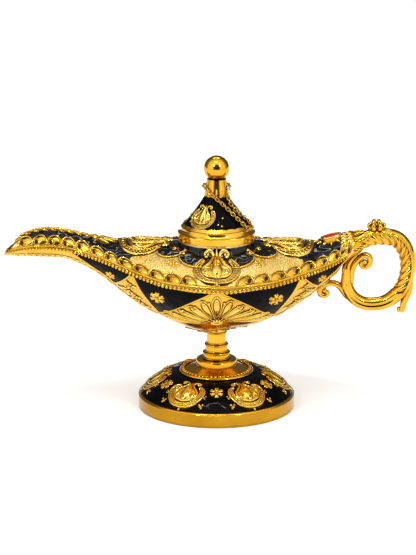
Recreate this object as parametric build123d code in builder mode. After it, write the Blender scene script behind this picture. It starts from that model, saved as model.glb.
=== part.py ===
from build123d import *
import os
from math import atan2, cos, degrees, hypot, pi, radians, sin

os.makedirs("parts", exist_ok=True)

# Genie oil lamp in millimetres: origin under the middle of the foot, +X toward the handle,
# -X toward the spout, -Y toward the viewer, +Z up.

# Fits shared by all pieces
rod_clearance = 0.2
thread_clearance = 0.05
lid_clearance = 0.4
chain_clearance = 0.3
enamel_thickness = 0.6

# Foot
foot_radius = 39.3
foot_rim_height = 6.2
foot_rim_step = 0.8
foot_height = 17.6
foot_wall = 2.4
foot_dome_swell = 2.6
foot_seat_radius = 18.4

# Bead collar and stem
collar_radius = 17.7
collar_edge = 1.4
collar_rise = 3.8
collar_bead_radius = 0.95
collar_bead_pitch = 2.05
flange_radius = 10.3
flange_height = 3.1
flange_round = 1.0
lower_ferrule_radius = 6.5
lower_ferrule_height = 3.6
middle_ferrule_radius = 5.6
middle_ferrule_height = 4.2
upper_ferrule_radius = 4.9
upper_ferrule_height = 6.6
ferrule_bead = 0.5

# Tie rod and its nuts
rod_radius = 2.5
rod_end = 2.0
rod_chamfer = 0.5
nut_width = 8.0
nut_height = 4.0
washer_radius = 5.4
washer_thickness = 1.0

# Hull of the bowl
spout_reach = 106.5
tail_reach = 68.0
hull_half_breadth = 42.0
bowl_depth = 29.0
crown_height = 15.7
spout_rise = 13.4
tail_rise = 10.5
hull_wall = 1.8
boss_height = 1.8
pad_radius = 7.5
pad_height = 1.2
pad_sink = 0.45
seam_drop = 0.5
mouth_slope = 46.0
moulding_height = 1.6
moulding_depth = 1.2
bead_band_height = 2.0
bead_band_depth = 1.15

# Neck and lid
neck_rise = 1.8
neck_bore_radius = 16.0
neck_lip_radius = 18.8
neck_lip_height = 0.8
neck_flare_width = 8.2
neck_flare_depth = 8.0
neck_flare_hollow = 1.7
lid_rim_radius = 19.3
lid_rim_band = 3.0
lid_rim_height = 5.6
lid_rim_hollow = 0.5
lid_base_radius = 17.6
lid_top_radius = 5.9
lid_cone_height = 15.7
lid_hollow = 0.5
lid_wall = 1.6
lid_crown = 2.0
plug_wall = 1.2
plug_depth = 6.0

# Finial
collar_foot_radius = 6.2
collar_top_radius = 4.8
collar_height = 8.4
flute_count = 12
flute_radius = 0.7
ball_radius = 6.4
ball_sink = 1.2
stud_radius = 1.5
stud_bite = 6.0
stud_end = 1.2
stud_chamfer = 0.3
stud_nut_width = 5.5
stud_nut_height = 2.4

# Handle
finger_width = 23.0
finger_height = 27.4
finger_setback = 0.2
finger_rise = 2.8
handle_root_radius = 4.3
handle_shoulder_radius = 4.4
handle_shoulder_share = 0.25
handle_end_radius = 3.2
spigot_radius = 1.8
spigot_length = 6.0
scroll_strand_radius = 1.3
scroll_radii = (7.4, 3.4, 2.9, 2.0)
curl_strand_radius = 1.35
curl_radii = (3.6, 2.4, 1.8)
curl_run = 3.1
curl_sweep_radius = 8.0
curl_sweep_start = 5.0
curl_sweep_reach = 10.0
curl_sweep_drop = 15.0
strand_tip_share = 1.3
toe_radius = 1.9
toe_root_reach = 14.9
toe_root_drop = 9.2
toe_end_reach = 12.6
toe_end_drop = 19.4
rosette_sink = 0.6
rosette_petals = 6
rosette_petal_radius = 2.2
rosette_spread = 3.0
rosette_heart_radius = 2.8

# Gem and its bezel
bezel_length = 12.4
bezel_width = 8.4
bezel_height = 1.6
bezel_depth = 4.0
gem_length = 7.0
gem_width = 5.2
gem_seat = 0.6
gem_girdle = 1.2
gem_crown = 0.8
gem_crown_taper = 40.0

# Palmette, drawn about the middle of its crescent: a teardrop in a round cup with two volutes
palmette_half_width = 11.2
palmette_height = 17.2
palmette_band = 2.3
palmette_opening = 14.6
palmette_cup_half_width = 7.3
palmette_cup_half_height = 4.9
palmette_cup_drop = 2.1
palmette_drop_radius = 3.0
palmette_tip_radius = 0.4
palmette_tip_rise = 11.4
palmette_volute_radius = 1.8
palmette_volute_spread = 4.6
palmette_volute_rise = 9.1
palmette_arm_radius = 0.8
palmette_arm_spread = 2.6
palmette_relief = 0.8
palmette_drop_relief = 1.6
palmette_cut = 8.0
front_palmette_rise = 13.9
top_palmette_place = 36.7
top_palmette_size = 1.34
foot_palmette_count = 6
foot_palmette_radius = 29.9
foot_palmette_size = 0.85

# Chain
link_length = 2.9
link_width = 1.9
link_wire = 0.46
link_pitch = 1.75
link_lean = 45.0

# Heights that follow from the stack
rod_bore_radius = rod_radius + rod_clearance
collar_base = foot_height
flange_base = collar_base + collar_rise
lower_ferrule_base = flange_base + flange_height
middle_ferrule_base = lower_ferrule_base + lower_ferrule_height
upper_ferrule_base = middle_ferrule_base + middle_ferrule_height
bowl_seat = upper_ferrule_base + upper_ferrule_height
keel_height = bowl_seat + boss_height
pad_top = keel_height + hull_wall + pad_height
rim_height = keel_height + bowl_depth
lid_seat = rim_height + crown_height + neck_rise
cone_base = lid_seat + lid_rim_height
cone_top = cone_base + lid_cone_height
ball_height = cone_top + collar_height - ball_sink + ball_radius
dome_radius = foot_radius - foot_rim_step
finger_left = tail_reach + finger_setback
finger_middle_x = finger_left + finger_width / 2
finger_middle_z = rim_height + tail_rise + finger_rise - finger_height / 2

# Hull lines at each station: place along the reach (minus toward the spout), then the half
# breadth, the rise of the rim, the crown above it and the keel below it, as shares of the
# spout or tail reach, of the widest breadth, the rise, the crown height and the bowl depth.
hull_lines = [
    (-1.014, 0.081, 0.680, 0.191, 0.038),
    (-0.977, 0.110, 0.769, 0.268, 0.076),
    (-0.920, 0.140, 0.896, 0.357, 0.134),
    (-0.854, 0.181, 0.978, 0.471, 0.172),
    (-0.779, 0.200, 1.000, 0.516, 0.190),
    (-0.704, 0.224, 0.955, 0.497, 0.193),
    (-0.629, 0.271, 0.858, 0.471, 0.255),
    (-0.545, 0.371, 0.709, 0.465, 0.352),
    (-0.451, 0.514, 0.515, 0.541, 0.531),
    (-0.338, 0.690, 0.269, 0.726, 0.714),
    (-0.207, 0.876, 0.090, 0.892, 0.886),
    (0.000, 1.000, 0.000, 1.000, 1.000),
    (0.324, 0.862, 0.076, 0.917, 0.900),
    (0.529, 0.686, 0.210, 0.783, 0.707),
    (0.706, 0.481, 0.400, 0.656, 0.507),
    (0.838, 0.305, 0.562, 0.643, 0.303),
    (0.926, 0.214, 0.781, 0.643, 0.166),
    (1.000, 0.152, 1.000, 0.573, 0.100),
]


def hull_station(lines):
    share, breadth, rise, crown, keel = lines
    reach, lift = (spout_reach, spout_rise) if share < 0 else (tail_reach, tail_rise)
    rim = rim_height + rise * lift
    return share * reach, breadth * hull_half_breadth, rim, crown * crown_height, keel * bowl_depth


stations = [hull_station(lines) for lines in hull_lines]


def lofted_hull(sections, grow):
    with BuildPart() as hull:
        for along, half, rim, crown, keel in sections:
            top = rim + crown + grow
            bottom = rim - max(keel + grow, 0.4)
            with BuildSketch(Plane.YZ.offset(along)):
                with BuildLine():
                    ThreePointArc((-half - grow, rim), (0, top), (half + grow, rim))
                    ThreePointArc((half + grow, rim), (0, bottom), (-half - grow, rim))
                make_face()
        loft()
        add(mouth_side.part, mode=Mode.SUBTRACT)
    return hull.part


def rim_slab(drop, height):
    points = [(along, rim - drop) for along, half, rim, crown, keel in stations]
    with BuildPart() as slab:
        with BuildSketch(Plane.XZ):
            with BuildLine():
                lower = Spline(*points)
                upper = Spline(*[(x, z + height) for x, z in points])
                Line(lower @ 0, upper @ 0)
                Line(lower @ 1, upper @ 1)
            make_face()
        extrude(amount=hull_half_breadth * 1.5, both=True)
    return slab.part


# Everything in front of the slanted mouth of the spout
tip_z = stations[0][2] - stations[0][4]
mouth_x = spout_reach * cos(radians(mouth_slope))
mouth_z = spout_reach * sin(radians(mouth_slope))
with BuildPart() as mouth_side:
    with BuildSketch(Plane.XZ):
        with BuildLine():
            Polyline((-spout_reach - mouth_x, tip_z - mouth_z),
                     (-spout_reach + mouth_x, tip_z + mouth_z),
                     (-spout_reach * 2, tip_z + mouth_z), close=True)
        make_face()
    extrude(amount=hull_half_breadth, both=True)

hull_form = lofted_hull(stations, 0)
cavity_form = lofted_hull(stations[1:-2], -hull_wall)
moulding_form = lofted_hull(stations, moulding_depth)
bead_form = lofted_hull(stations, bead_band_depth)
above_seam = rim_slab(seam_drop, crown_height * 3)
below_seam = rim_slab(seam_drop + rim_height, rim_height)

# Foot: upright rim, domed top with a recess for the enamel, hollow below
with BuildPart() as foot_shell:
    with BuildSketch(Plane.XZ):
        with BuildLine():
            inner_radius = dome_radius - foot_wall
            Polyline((inner_radius, 0), (foot_radius, 0), (foot_radius, foot_rim_height),
                     (dome_radius - enamel_thickness, foot_rim_height))
            SagittaArc((dome_radius - enamel_thickness, foot_rim_height),
                       (foot_seat_radius, foot_height - enamel_thickness), -foot_dome_swell)
            Polyline((foot_seat_radius, foot_height - enamel_thickness), (foot_seat_radius, foot_height),
                     (rod_bore_radius, foot_height), (rod_bore_radius, foot_height - foot_wall),
                     (foot_seat_radius, foot_height - foot_wall))
            SagittaArc((foot_seat_radius, foot_height - foot_wall),
                       (inner_radius, foot_rim_height - foot_wall), foot_dome_swell)
            Line((inner_radius, foot_rim_height - foot_wall), (inner_radius, 0))
        make_face()
    revolve(axis=Axis.Z)
foot_shell.part.label = "foot_shell"
export_step(foot_shell.part, "parts/foot_shell.step")

# Enamel cap over the dome
with BuildPart() as foot_enamel:
    with BuildSketch(Plane.XZ):
        with BuildLine():
            SagittaArc((dome_radius, foot_rim_height), (foot_seat_radius, foot_height), -foot_dome_swell)
            Line((foot_seat_radius, foot_height), (foot_seat_radius, foot_height - enamel_thickness))
            SagittaArc((foot_seat_radius, foot_height - enamel_thickness),
                       (dome_radius - enamel_thickness, foot_rim_height), foot_dome_swell)
            Line((dome_radius - enamel_thickness, foot_rim_height), (dome_radius, foot_rim_height))
        make_face()
    revolve(axis=Axis.Z)
foot_enamel.part.label = "foot_enamel"
export_step(foot_enamel.part, "parts/foot_enamel.step")

# Dish with a ring of beads along its edge
bead_ring_radius = collar_radius - collar_bead_radius
bead_count = round(2 * pi * bead_ring_radius / collar_bead_pitch)
with BuildPart() as bead_collar:
    with BuildSketch(Plane.XZ):
        with BuildLine():
            Polyline((rod_bore_radius, collar_base), (collar_radius, collar_base),
                     (collar_radius, collar_base + collar_edge),
                     (collar_radius - 2 * collar_bead_radius, collar_base + collar_edge),
                     (flange_radius, flange_base), (rod_bore_radius, flange_base), close=True)
        make_face()
    revolve(axis=Axis.Z)
    with Locations((0, 0, collar_base + collar_edge)):
        with PolarLocations(bead_ring_radius, bead_count):
            Sphere(collar_bead_radius)
bead_collar.part.label = "bead_collar"
export_step(bead_collar.part, "parts/bead_collar.step")

# Round step at the foot of the stem
with BuildPart() as stem_flange:
    with BuildSketch(Plane.XY.offset(flange_base)):
        Circle(flange_radius)
        Circle(rod_bore_radius, mode=Mode.SUBTRACT)
    extrude(amount=flange_height)
    fillet(stem_flange.faces().sort_by(Axis.Z)[-1].outer_wire().edges(), flange_round)
stem_flange.part.label = "stem_flange"
export_step(stem_flange.part, "parts/stem_flange.step")

# Three turned ferrules threaded on the rod, each with a rounded top edge
with BuildPart() as stem_lower_ferrule:
    with BuildSketch(Plane.XY.offset(lower_ferrule_base)):
        Circle(lower_ferrule_radius)
        Circle(rod_bore_radius, mode=Mode.SUBTRACT)
    extrude(amount=lower_ferrule_height)
    fillet(stem_lower_ferrule.faces().sort_by(Axis.Z)[-1].outer_wire().edges(), ferrule_bead)
stem_lower_ferrule.part.label = "stem_lower_ferrule"
export_step(stem_lower_ferrule.part, "parts/stem_lower_ferrule.step")

with BuildPart() as stem_middle_ferrule:
    with BuildSketch(Plane.XY.offset(middle_ferrule_base)):
        Circle(middle_ferrule_radius)
        Circle(rod_bore_radius, mode=Mode.SUBTRACT)
    extrude(amount=middle_ferrule_height)
    fillet(stem_middle_ferrule.faces().sort_by(Axis.Z)[-1].outer_wire().edges(), ferrule_bead)
stem_middle_ferrule.part.label = "stem_middle_ferrule"
export_step(stem_middle_ferrule.part, "parts/stem_middle_ferrule.step")

with BuildPart() as stem_upper_ferrule:
    with BuildSketch(Plane.XY.offset(upper_ferrule_base)):
        Circle(upper_ferrule_radius)
        Circle(rod_bore_radius, mode=Mode.SUBTRACT)
    extrude(amount=upper_ferrule_height)
    fillet(stem_upper_ferrule.faces().sort_by(Axis.Z)[-1].outer_wire().edges(), ferrule_bead)
stem_upper_ferrule.part.label = "stem_upper_ferrule"
export_step(stem_upper_ferrule.part, "parts/stem_upper_ferrule.step")

# Rod that clamps foot, stem and bowl, with a washer and a nut at each end
lower_washer_base = foot_height - foot_wall - washer_thickness
lower_nut_base = lower_washer_base - nut_height
upper_nut_base = pad_top + washer_thickness
rod_base = lower_nut_base - rod_end
rod_length = upper_nut_base + nut_height + rod_end - rod_base
with BuildPart() as tie_rod:
    with BuildSketch(Plane.XY.offset(rod_base)):
        Circle(rod_radius)
    extrude(amount=rod_length)
    chamfer(tie_rod.edges().filter_by(GeomType.CIRCLE), rod_chamfer)
tie_rod.part.label = "tie_rod"
export_step(tie_rod.part, "parts/tie_rod.step")

with BuildPart() as rod_washer_bottom:
    with BuildSketch(Plane.XY.offset(lower_washer_base)):
        Circle(washer_radius)
        Circle(rod_bore_radius, mode=Mode.SUBTRACT)
    extrude(amount=washer_thickness)
rod_washer_bottom.part.label = "rod_washer_bottom"
export_step(rod_washer_bottom.part, "parts/rod_washer_bottom.step")

with BuildPart() as rod_nut_bottom:
    with BuildSketch(Plane.XY.offset(lower_nut_base)):
        RegularPolygon(nut_width / 2, 6, major_radius=False)
        Circle(rod_radius + thread_clearance, mode=Mode.SUBTRACT)
    extrude(amount=nut_height)
rod_nut_bottom.part.label = "rod_nut_bottom"
export_step(rod_nut_bottom.part, "parts/rod_nut_bottom.step")

with BuildPart() as rod_washer_top:
    with BuildSketch(Plane.XY.offset(pad_top)):
        Circle(washer_radius)
        Circle(rod_bore_radius, mode=Mode.SUBTRACT)
    extrude(amount=washer_thickness)
rod_washer_top.part.label = "rod_washer_top"
export_step(rod_washer_top.part, "parts/rod_washer_top.step")

with BuildPart() as rod_nut_top:
    with BuildSketch(Plane.XY.offset(upper_nut_base)):
        RegularPolygon(nut_width / 2, 6, major_radius=False)
        Circle(rod_radius + thread_clearance, mode=Mode.SUBTRACT)
    extrude(amount=nut_height)
rod_nut_top.part.label = "rod_nut_top"
export_step(rod_nut_top.part, "parts/rod_nut_top.step")

# Lower half of the hull, with a boss on the stem and a pad for the upper nut
with BuildPart() as lower_bowl:
    add(hull_form)
    add(below_seam, mode=Mode.INTERSECT)
    add(cavity_form, mode=Mode.SUBTRACT)
    with BuildSketch(Plane.XY.offset(bowl_seat)):
        Circle(upper_ferrule_radius)
    extrude(amount=boss_height + hull_wall)
    pad_base = keel_height + hull_wall - pad_sink
    with BuildSketch(Plane.XY.offset(pad_base)):
        Circle(pad_radius)
    extrude(amount=pad_top - pad_base)
    with Locations((0, 0, pad_top)):
        Hole(rod_bore_radius, depth=pad_top - bowl_seat)
lower_bowl.part.label = "lower_bowl"
export_step(lower_bowl.part, "parts/lower_bowl.step")


def flared_neck(grow):
    lip, flare_top = neck_lip_radius + grow, lid_seat - neck_lip_height
    flare_end = (lip + neck_flare_width, flare_top - neck_flare_depth)
    flare_base = flare_end[1] - neck_lip_height
    with BuildPart() as neck:
        with BuildSketch(Plane.XZ):
            with BuildLine():
                Polyline((0, flare_base), (0, lid_seat), (lip, lid_seat), (lip, flare_top))
                SagittaArc((lip, flare_top), flare_end, -neck_flare_hollow)
                Polyline(flare_end, (flare_end[0], flare_base), (0, flare_base))
            make_face()
        revolve(axis=Axis.Z)
    return neck.part


# Upper half of the hull, with the flared neck and the socket for the handle
handle_root_z = rim_height + tail_rise + (stations[-1][3] - stations[-1][4]) / 2
with BuildPart() as upper_shell:
    add(hull_form)
    add(above_seam, mode=Mode.INTERSECT)
    add(flared_neck(0))
    add(cavity_form, mode=Mode.SUBTRACT)
    with Locations((0, 0, lid_seat)):
        Hole(neck_bore_radius, depth=lid_seat - rim_height)
    with Locations(Plane(origin=(tail_reach, 0, handle_root_z), z_dir=(1, 0, 0))):
        Hole(spigot_radius + rod_clearance, depth=spigot_length + rod_clearance)
upper_shell.part.label = "upper_shell"
export_step(upper_shell.part, "parts/upper_shell.step")

# Bead band over the seam and the half-round band above it
with BuildPart() as rim_moulding:
    add(moulding_form)
    add(rim_slab(-bead_band_height / 2, moulding_height), mode=Mode.INTERSECT)
    add(hull_form, mode=Mode.SUBTRACT)
rim_moulding.part.label = "rim_moulding"
export_step(rim_moulding.part, "parts/rim_moulding.step")

with BuildPart() as bead_row:
    add(bead_form)
    add(rim_slab(bead_band_height / 2, bead_band_height), mode=Mode.INTERSECT)
    add(hull_form, mode=Mode.SUBTRACT)
bead_row.part.label = "bead_row"
export_step(bead_row.part, "parts/bead_row.step")

# Palmette plans: teardrop, one volute arm, and the crescent with cup and arms
with BuildSketch() as drop_plan:
    Circle(palmette_drop_radius)
    with Locations((0, palmette_tip_rise)):
        Circle(palmette_tip_radius)
    make_hull()

with BuildSketch() as arm_plan:
    with Locations((palmette_volute_spread, palmette_volute_rise)):
        Circle(palmette_volute_radius)
    with Locations((palmette_arm_spread, 0)):
        Circle(palmette_arm_radius)
    make_hull()

with BuildSketch() as palmette_plan:
    Ellipse(palmette_half_width, palmette_height / 2)
    Ellipse(palmette_half_width - palmette_band, palmette_height / 2 - palmette_band,
            mode=Mode.SUBTRACT)
    with Locations((0, palmette_height / 2)):
        Rectangle(palmette_opening, palmette_height, mode=Mode.SUBTRACT)
    with Locations((0, -palmette_cup_drop)):
        Ellipse(palmette_cup_half_width, palmette_cup_half_height)
    add(arm_plan.sketch)
    mirror(arm_plan.sketch, about=Plane.YZ)


def raised(plan, plane, size, form):
    with BuildPart() as relief:
        with BuildSketch(plane):
            scale(plan.sketch, by=size, mode=Mode.ADD)
        extrude(amount=palmette_cut, both=True)
        add(form, mode=Mode.INTERSECT)
    return relief.part


def relief_over_shell(relief):
    with BuildPart() as form:
        add(lofted_hull(stations, relief))
        add(flared_neck(relief))
    return form.part


def relief_over_foot(relief):
    with BuildPart() as form:
        with BuildSketch(Plane.XZ):
            with BuildLine():
                SagittaArc((dome_radius, foot_rim_height), (foot_seat_radius, foot_height), -foot_dome_swell)
                Line((foot_seat_radius, foot_height), (foot_seat_radius, foot_height + relief))
                SagittaArc((foot_seat_radius, foot_height + relief), (dome_radius, foot_rim_height + relief),
                           foot_dome_swell)
                Line((dome_radius, foot_rim_height + relief), (dome_radius, foot_rim_height))
            make_face()
        revolve(axis=Axis.Z)
    return form.part


# Palmettes on the upper shell: one on the front, one on the back, one toward each end
section_radius = (hull_half_breadth**2 + crown_height**2) / (2 * crown_height)
front_tilt = 2 * atan2(crown_height, hull_half_breadth) - front_palmette_rise / section_radius
front_z = rim_height + crown_height - section_radius * (1 - cos(front_tilt))
palmette_spots = [
    (Plane(origin=(0, side * section_radius * sin(front_tilt), front_z), x_dir=(-side, 0, 0),
           z_dir=(0, side * sin(front_tilt), cos(front_tilt))), 1) for side in (-1, 1)
] + [
    (Plane(origin=(side * top_palmette_place, 0, rim_height + crown_height), x_dir=(0, side, 0),
           z_dir=(0, 0, 1)), top_palmette_size) for side in (-1, 1)
]
shell_relief = relief_over_shell(palmette_relief)
shell_drop_relief = relief_over_shell(palmette_drop_relief)
with BuildPart() as shell_palmettes:
    for plane, size in palmette_spots:
        add(raised(palmette_plan, plane, size, shell_relief))
        add(raised(drop_plan, plane, size, shell_drop_relief))
    add(hull_form, mode=Mode.SUBTRACT)
    add(upper_shell.part, mode=Mode.SUBTRACT)
shell_palmettes.part.label = "shell_palmettes"
export_step(shell_palmettes.part, "parts/shell_palmettes.step")

# Palmettes round the foot, laid on the enamel
dome_tilt = atan2(foot_height - foot_rim_height, dome_radius - foot_seat_radius)
dome_z = foot_height - (foot_palmette_radius - foot_seat_radius) * sin(dome_tilt) / cos(dome_tilt)
foot_relief = relief_over_foot(palmette_relief)
foot_drop_relief = relief_over_foot(palmette_drop_relief)
with BuildPart() as foot_palmettes:
    for index in range(foot_palmette_count):
        angle = 2 * pi * (index + 0.5) / foot_palmette_count
        outward = (sin(angle), -cos(angle))
        plane = Plane(origin=(foot_palmette_radius * outward[0], foot_palmette_radius * outward[1], dome_z),
                      x_dir=(-outward[1], outward[0], 0),
                      z_dir=(sin(dome_tilt) * outward[0], sin(dome_tilt) * outward[1], cos(dome_tilt)))
        add(raised(palmette_plan, plane, foot_palmette_size, foot_relief))
        add(raised(drop_plan, plane, foot_palmette_size, foot_drop_relief))
foot_palmettes.part.label = "foot_palmettes"
export_step(foot_palmettes.part, "parts/foot_palmettes.step")

# Handle: a ring swept on from the tail of the hull, fuller at the shoulder than below. Each point
# of its line is an angle and a distance from the middle of the finger hole.
ring_line = [(115, 17.6), (90, 17.9), (62, 19.2), (40, 18.2), (15, 16.3), (-15, 15.2), (-45, 15.6),
             (-75, 16.4), (-105, 17.3), (-130, 17.4), (-155, 16.1), (-185, 14.85)]


def polar_point(centre_x, centre_z, radius, angle):
    return centre_x + radius * cos(radians(angle)), centre_z + radius * sin(radians(angle))


def curl(start, heading, radii, turn):
    x, z = start
    for radius in radii:
        side = heading + 90 * turn
        x, z = polar_point(x, z, radius, side)
        CenterArc((x, z), radius, side + 180, 90 * turn)
        x, z = polar_point(x, z, radius, heading)
        heading = side


ring_points = [polar_point(finger_middle_x, finger_middle_z, reach, angle) for angle, reach in ring_line]
sweep_middle = (finger_left - curl_sweep_reach, finger_middle_z - curl_sweep_drop)
toe_start = (finger_middle_x + toe_root_reach, finger_middle_z - toe_root_drop)
toe_end = (finger_middle_x + toe_end_reach, finger_middle_z - toe_end_drop)
with BuildPart() as handle:
    with BuildLine(Plane.XZ) as ring_path:
        Spline(*ring_points)
    ring_sections = [(0, handle_root_radius), (handle_shoulder_share, handle_shoulder_radius),
                     (1, handle_end_radius)]
    for share, radius in ring_sections:
        with BuildSketch(ring_path.line ^ share):
            Circle(radius)
    sweep(path=ring_path.line, multisection=True)
    with BuildLine(Plane.XZ) as scroll_path:
        curl(ring_points[-1], 90, scroll_radii, -1)
    with BuildSketch(scroll_path.line ^ 0):
        Circle(scroll_strand_radius)
    sweep(path=scroll_path.line)
    with BuildLine(Plane.XZ) as curl_path:
        rise = CenterArc(sweep_middle, curl_sweep_radius, curl_sweep_start, 90 - curl_sweep_start)
        run = Line(rise @ 1, rise @ 1 - (curl_run, 0, 0))
        curl(((run @ 1).X, (run @ 1).Z), 180, curl_radii, 1)
    with BuildSketch(curl_path.line ^ 0):
        Circle(curl_strand_radius)
    sweep(path=curl_path.line)
    with BuildLine(Plane.XZ) as toe_path:
        Line(toe_start, toe_end)
    with BuildSketch(toe_path.line ^ 0):
        Circle(toe_radius)
    sweep(path=toe_path.line)
    with Locations(ring_path.line @ 1):
        Sphere(handle_end_radius)
    with Locations(toe_path.line @ 1):
        Sphere(toe_radius)
    with Locations(scroll_path.line @ 1):
        Sphere(scroll_strand_radius * strand_tip_share)
    with Locations(curl_path.line @ 1):
        Sphere(curl_strand_radius * strand_tip_share)
    along, half, rim, crown, keel = stations[-1]
    with BuildSketch(Plane.YZ.offset(along)) as root_section:
        with BuildLine():
            ThreePointArc((-half, rim), (0, rim + crown), (half, rim))
            ThreePointArc((half, rim), (0, rim - keel), (-half, rim))
        make_face()
    ring_plane = Plane(origin=ring_path.line @ 0, x_dir=(0, 1, 0), z_dir=ring_path.line % 0)
    with BuildSketch(ring_plane) as tube_section:
        with BuildLine():
            ThreePointArc((-handle_root_radius, 0), (0, handle_root_radius), (handle_root_radius, 0))
            ThreePointArc((handle_root_radius, 0), (0, -handle_root_radius), (-handle_root_radius, 0))
        make_face()
    loft(sections=[root_section.sketch, tube_section.sketch])
    add(hull_form, mode=Mode.SUBTRACT)
    add(bead_row.part, mode=Mode.SUBTRACT)
    add(rim_moulding.part, mode=Mode.SUBTRACT)
    with BuildSketch(Plane.YZ.offset(tail_reach - spigot_length)):
        with Locations((0, handle_root_z)):
            Circle(spigot_radius)
    extrude(amount=spigot_length + spigot_radius)
handle.part.label = "handle"
export_step(handle.part, "parts/handle.step")

# Leaf rosette on top of the ring
rosette_base = ring_points[1][1] + handle_shoulder_radius - rosette_sink
with BuildPart() as handle_rosette:
    with Locations((finger_middle_x, 0, rosette_base)):
        with PolarLocations(rosette_spread, rosette_petals):
            Sphere(rosette_petal_radius)
    with Locations((finger_middle_x, 0, rosette_base + rosette_heart_radius)):
        Sphere(rosette_heart_radius)
    add(handle.part, mode=Mode.SUBTRACT)
handle_rosette.part.label = "handle_rosette"
export_step(handle_rosette.part, "parts/handle_rosette.step")

# Oval stone in a setting that sits square on the crown of the tail
before, after = stations[-4], stations[-2]
bezel_slope = atan2(after[2] + after[3] - before[2] - before[3], after[0] - before[0])
gem_spot = (stations[-3][0], 0, stations[-3][2] + stations[-3][3])
gem_plane = Plane(origin=gem_spot, x_dir=(cos(bezel_slope), 0, sin(bezel_slope)),
                  z_dir=(-sin(bezel_slope), 0, cos(bezel_slope)))
with BuildPart() as gem_bezel:
    with BuildSketch(gem_plane.offset(-bezel_depth)):
        Ellipse(bezel_length / 2, bezel_width / 2)
    extrude(amount=bezel_depth + bezel_height)
    with BuildSketch(gem_plane.offset(gem_seat)):
        Ellipse(gem_length / 2 + thread_clearance, gem_width / 2 + thread_clearance)
    extrude(amount=bezel_height, mode=Mode.SUBTRACT)
    add(hull_form, mode=Mode.SUBTRACT)
gem_bezel.part.label = "gem_bezel"
export_step(gem_bezel.part, "parts/gem_bezel.step")

with BuildPart() as gem:
    with BuildSketch(gem_plane.offset(gem_seat)):
        Ellipse(gem_length / 2, gem_width / 2)
    extrude(amount=gem_girdle)
    with BuildSketch(gem_plane.offset(gem_seat + gem_girdle)):
        Ellipse(gem_length / 2, gem_width / 2)
    extrude(amount=gem_crown, taper=gem_crown_taper)
gem.part.label = "gem"
export_step(gem.part, "parts/gem.step")

# Stepped band round the foot of the lid
plug_radius = neck_bore_radius - lid_clearance
with BuildPart() as lid_rim:
    with BuildSketch(Plane.XZ):
        with BuildLine():
            Polyline((lid_base_radius, cone_base), (plug_radius, cone_base), (plug_radius, lid_seat),
                     (lid_rim_radius, lid_seat), (lid_rim_radius, lid_seat + lid_rim_band))
            SagittaArc((lid_rim_radius, lid_seat + lid_rim_band), (lid_base_radius, cone_base),
                       lid_rim_hollow)
        make_face()
    revolve(axis=Axis.Z)
lid_rim.part.label = "lid_rim"
export_step(lid_rim.part, "parts/lid_rim.step")

# Sleeve that centres the lid in the neck
with BuildPart() as lid_plug:
    with BuildSketch(Plane.XY.offset(lid_seat - plug_depth)):
        Circle(plug_radius)
        Circle(plug_radius - plug_wall, mode=Mode.SUBTRACT)
    extrude(amount=plug_depth + lid_rim_band)
lid_plug.part.label = "lid_plug"
export_step(lid_plug.part, "parts/lid_plug.step")

# Cone of the lid and the enamel over it
stud_bore_radius = stud_radius + rod_clearance
core_base_radius = lid_base_radius - enamel_thickness
core_top_radius = lid_top_radius - enamel_thickness
with BuildPart() as lid_cone:
    with BuildSketch(Plane.XZ):
        with BuildLine():
            SagittaArc((core_base_radius, cone_base), (core_top_radius, cone_top), lid_hollow)
            Polyline((core_top_radius, cone_top), (stud_bore_radius, cone_top),
                     (stud_bore_radius, cone_top - lid_crown), (core_top_radius, cone_top - lid_crown))
            SagittaArc((core_top_radius, cone_top - lid_crown), (core_base_radius - lid_wall, cone_base),
                       -lid_hollow)
            Line((core_base_radius - lid_wall, cone_base), (core_base_radius, cone_base))
        make_face()
    revolve(axis=Axis.Z)
lid_cone.part.label = "lid_cone"
export_step(lid_cone.part, "parts/lid_cone.step")

with BuildPart() as lid_enamel:
    with BuildSketch(Plane.XZ):
        with BuildLine():
            SagittaArc((lid_base_radius, cone_base), (lid_top_radius, cone_top), lid_hollow)
            Line((lid_top_radius, cone_top), (core_top_radius, cone_top))
            SagittaArc((core_top_radius, cone_top), (core_base_radius, cone_base), -lid_hollow)
            Line((core_base_radius, cone_base), (lid_base_radius, cone_base))
        make_face()
    revolve(axis=Axis.Z)
lid_enamel.part.label = "lid_enamel"
export_step(lid_enamel.part, "parts/lid_enamel.step")

# Fluted collar that carries the ball
with BuildPart() as finial_collar:
    with BuildSketch(Plane.XZ):
        with BuildLine():
            Polyline((stud_bore_radius, cone_top), (collar_foot_radius, cone_top),
                     (collar_top_radius, cone_top + collar_height),
                     (stud_bore_radius, cone_top + collar_height), close=True)
        make_face()
    revolve(axis=Axis.Z)
    with BuildSketch(Plane.XY.offset(cone_top)):
        with PolarLocations(collar_foot_radius, flute_count):
            Circle(flute_radius)
    extrude(amount=collar_height, mode=Mode.SUBTRACT)
    with Locations((0, 0, ball_height)):
        Sphere(ball_radius + thread_clearance, mode=Mode.SUBTRACT)
finial_collar.part.label = "finial_collar"
export_step(finial_collar.part, "parts/finial_collar.step")

with BuildPart() as finial_ball:
    with Locations((0, 0, ball_height)):
        Sphere(ball_radius)
    with Locations(Plane(origin=(0, 0, ball_height - ball_radius), z_dir=(0, 0, -1))):
        Hole(stud_radius + thread_clearance, depth=stud_bite + thread_clearance)
finial_ball.part.label = "finial_ball"
export_step(finial_ball.part, "parts/finial_ball.step")

# Stud and nut inside the lid
stud_nut_base = cone_top - lid_crown - stud_nut_height
with BuildPart() as finial_stud:
    with BuildSketch(Plane.XY.offset(stud_nut_base - stud_end)):
        Circle(stud_radius)
    extrude(amount=ball_height - ball_radius + stud_bite - stud_nut_base + stud_end)
    chamfer(finial_stud.edges().filter_by(GeomType.CIRCLE), stud_chamfer)
finial_stud.part.label = "finial_stud"
export_step(finial_stud.part, "parts/finial_stud.step")

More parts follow.
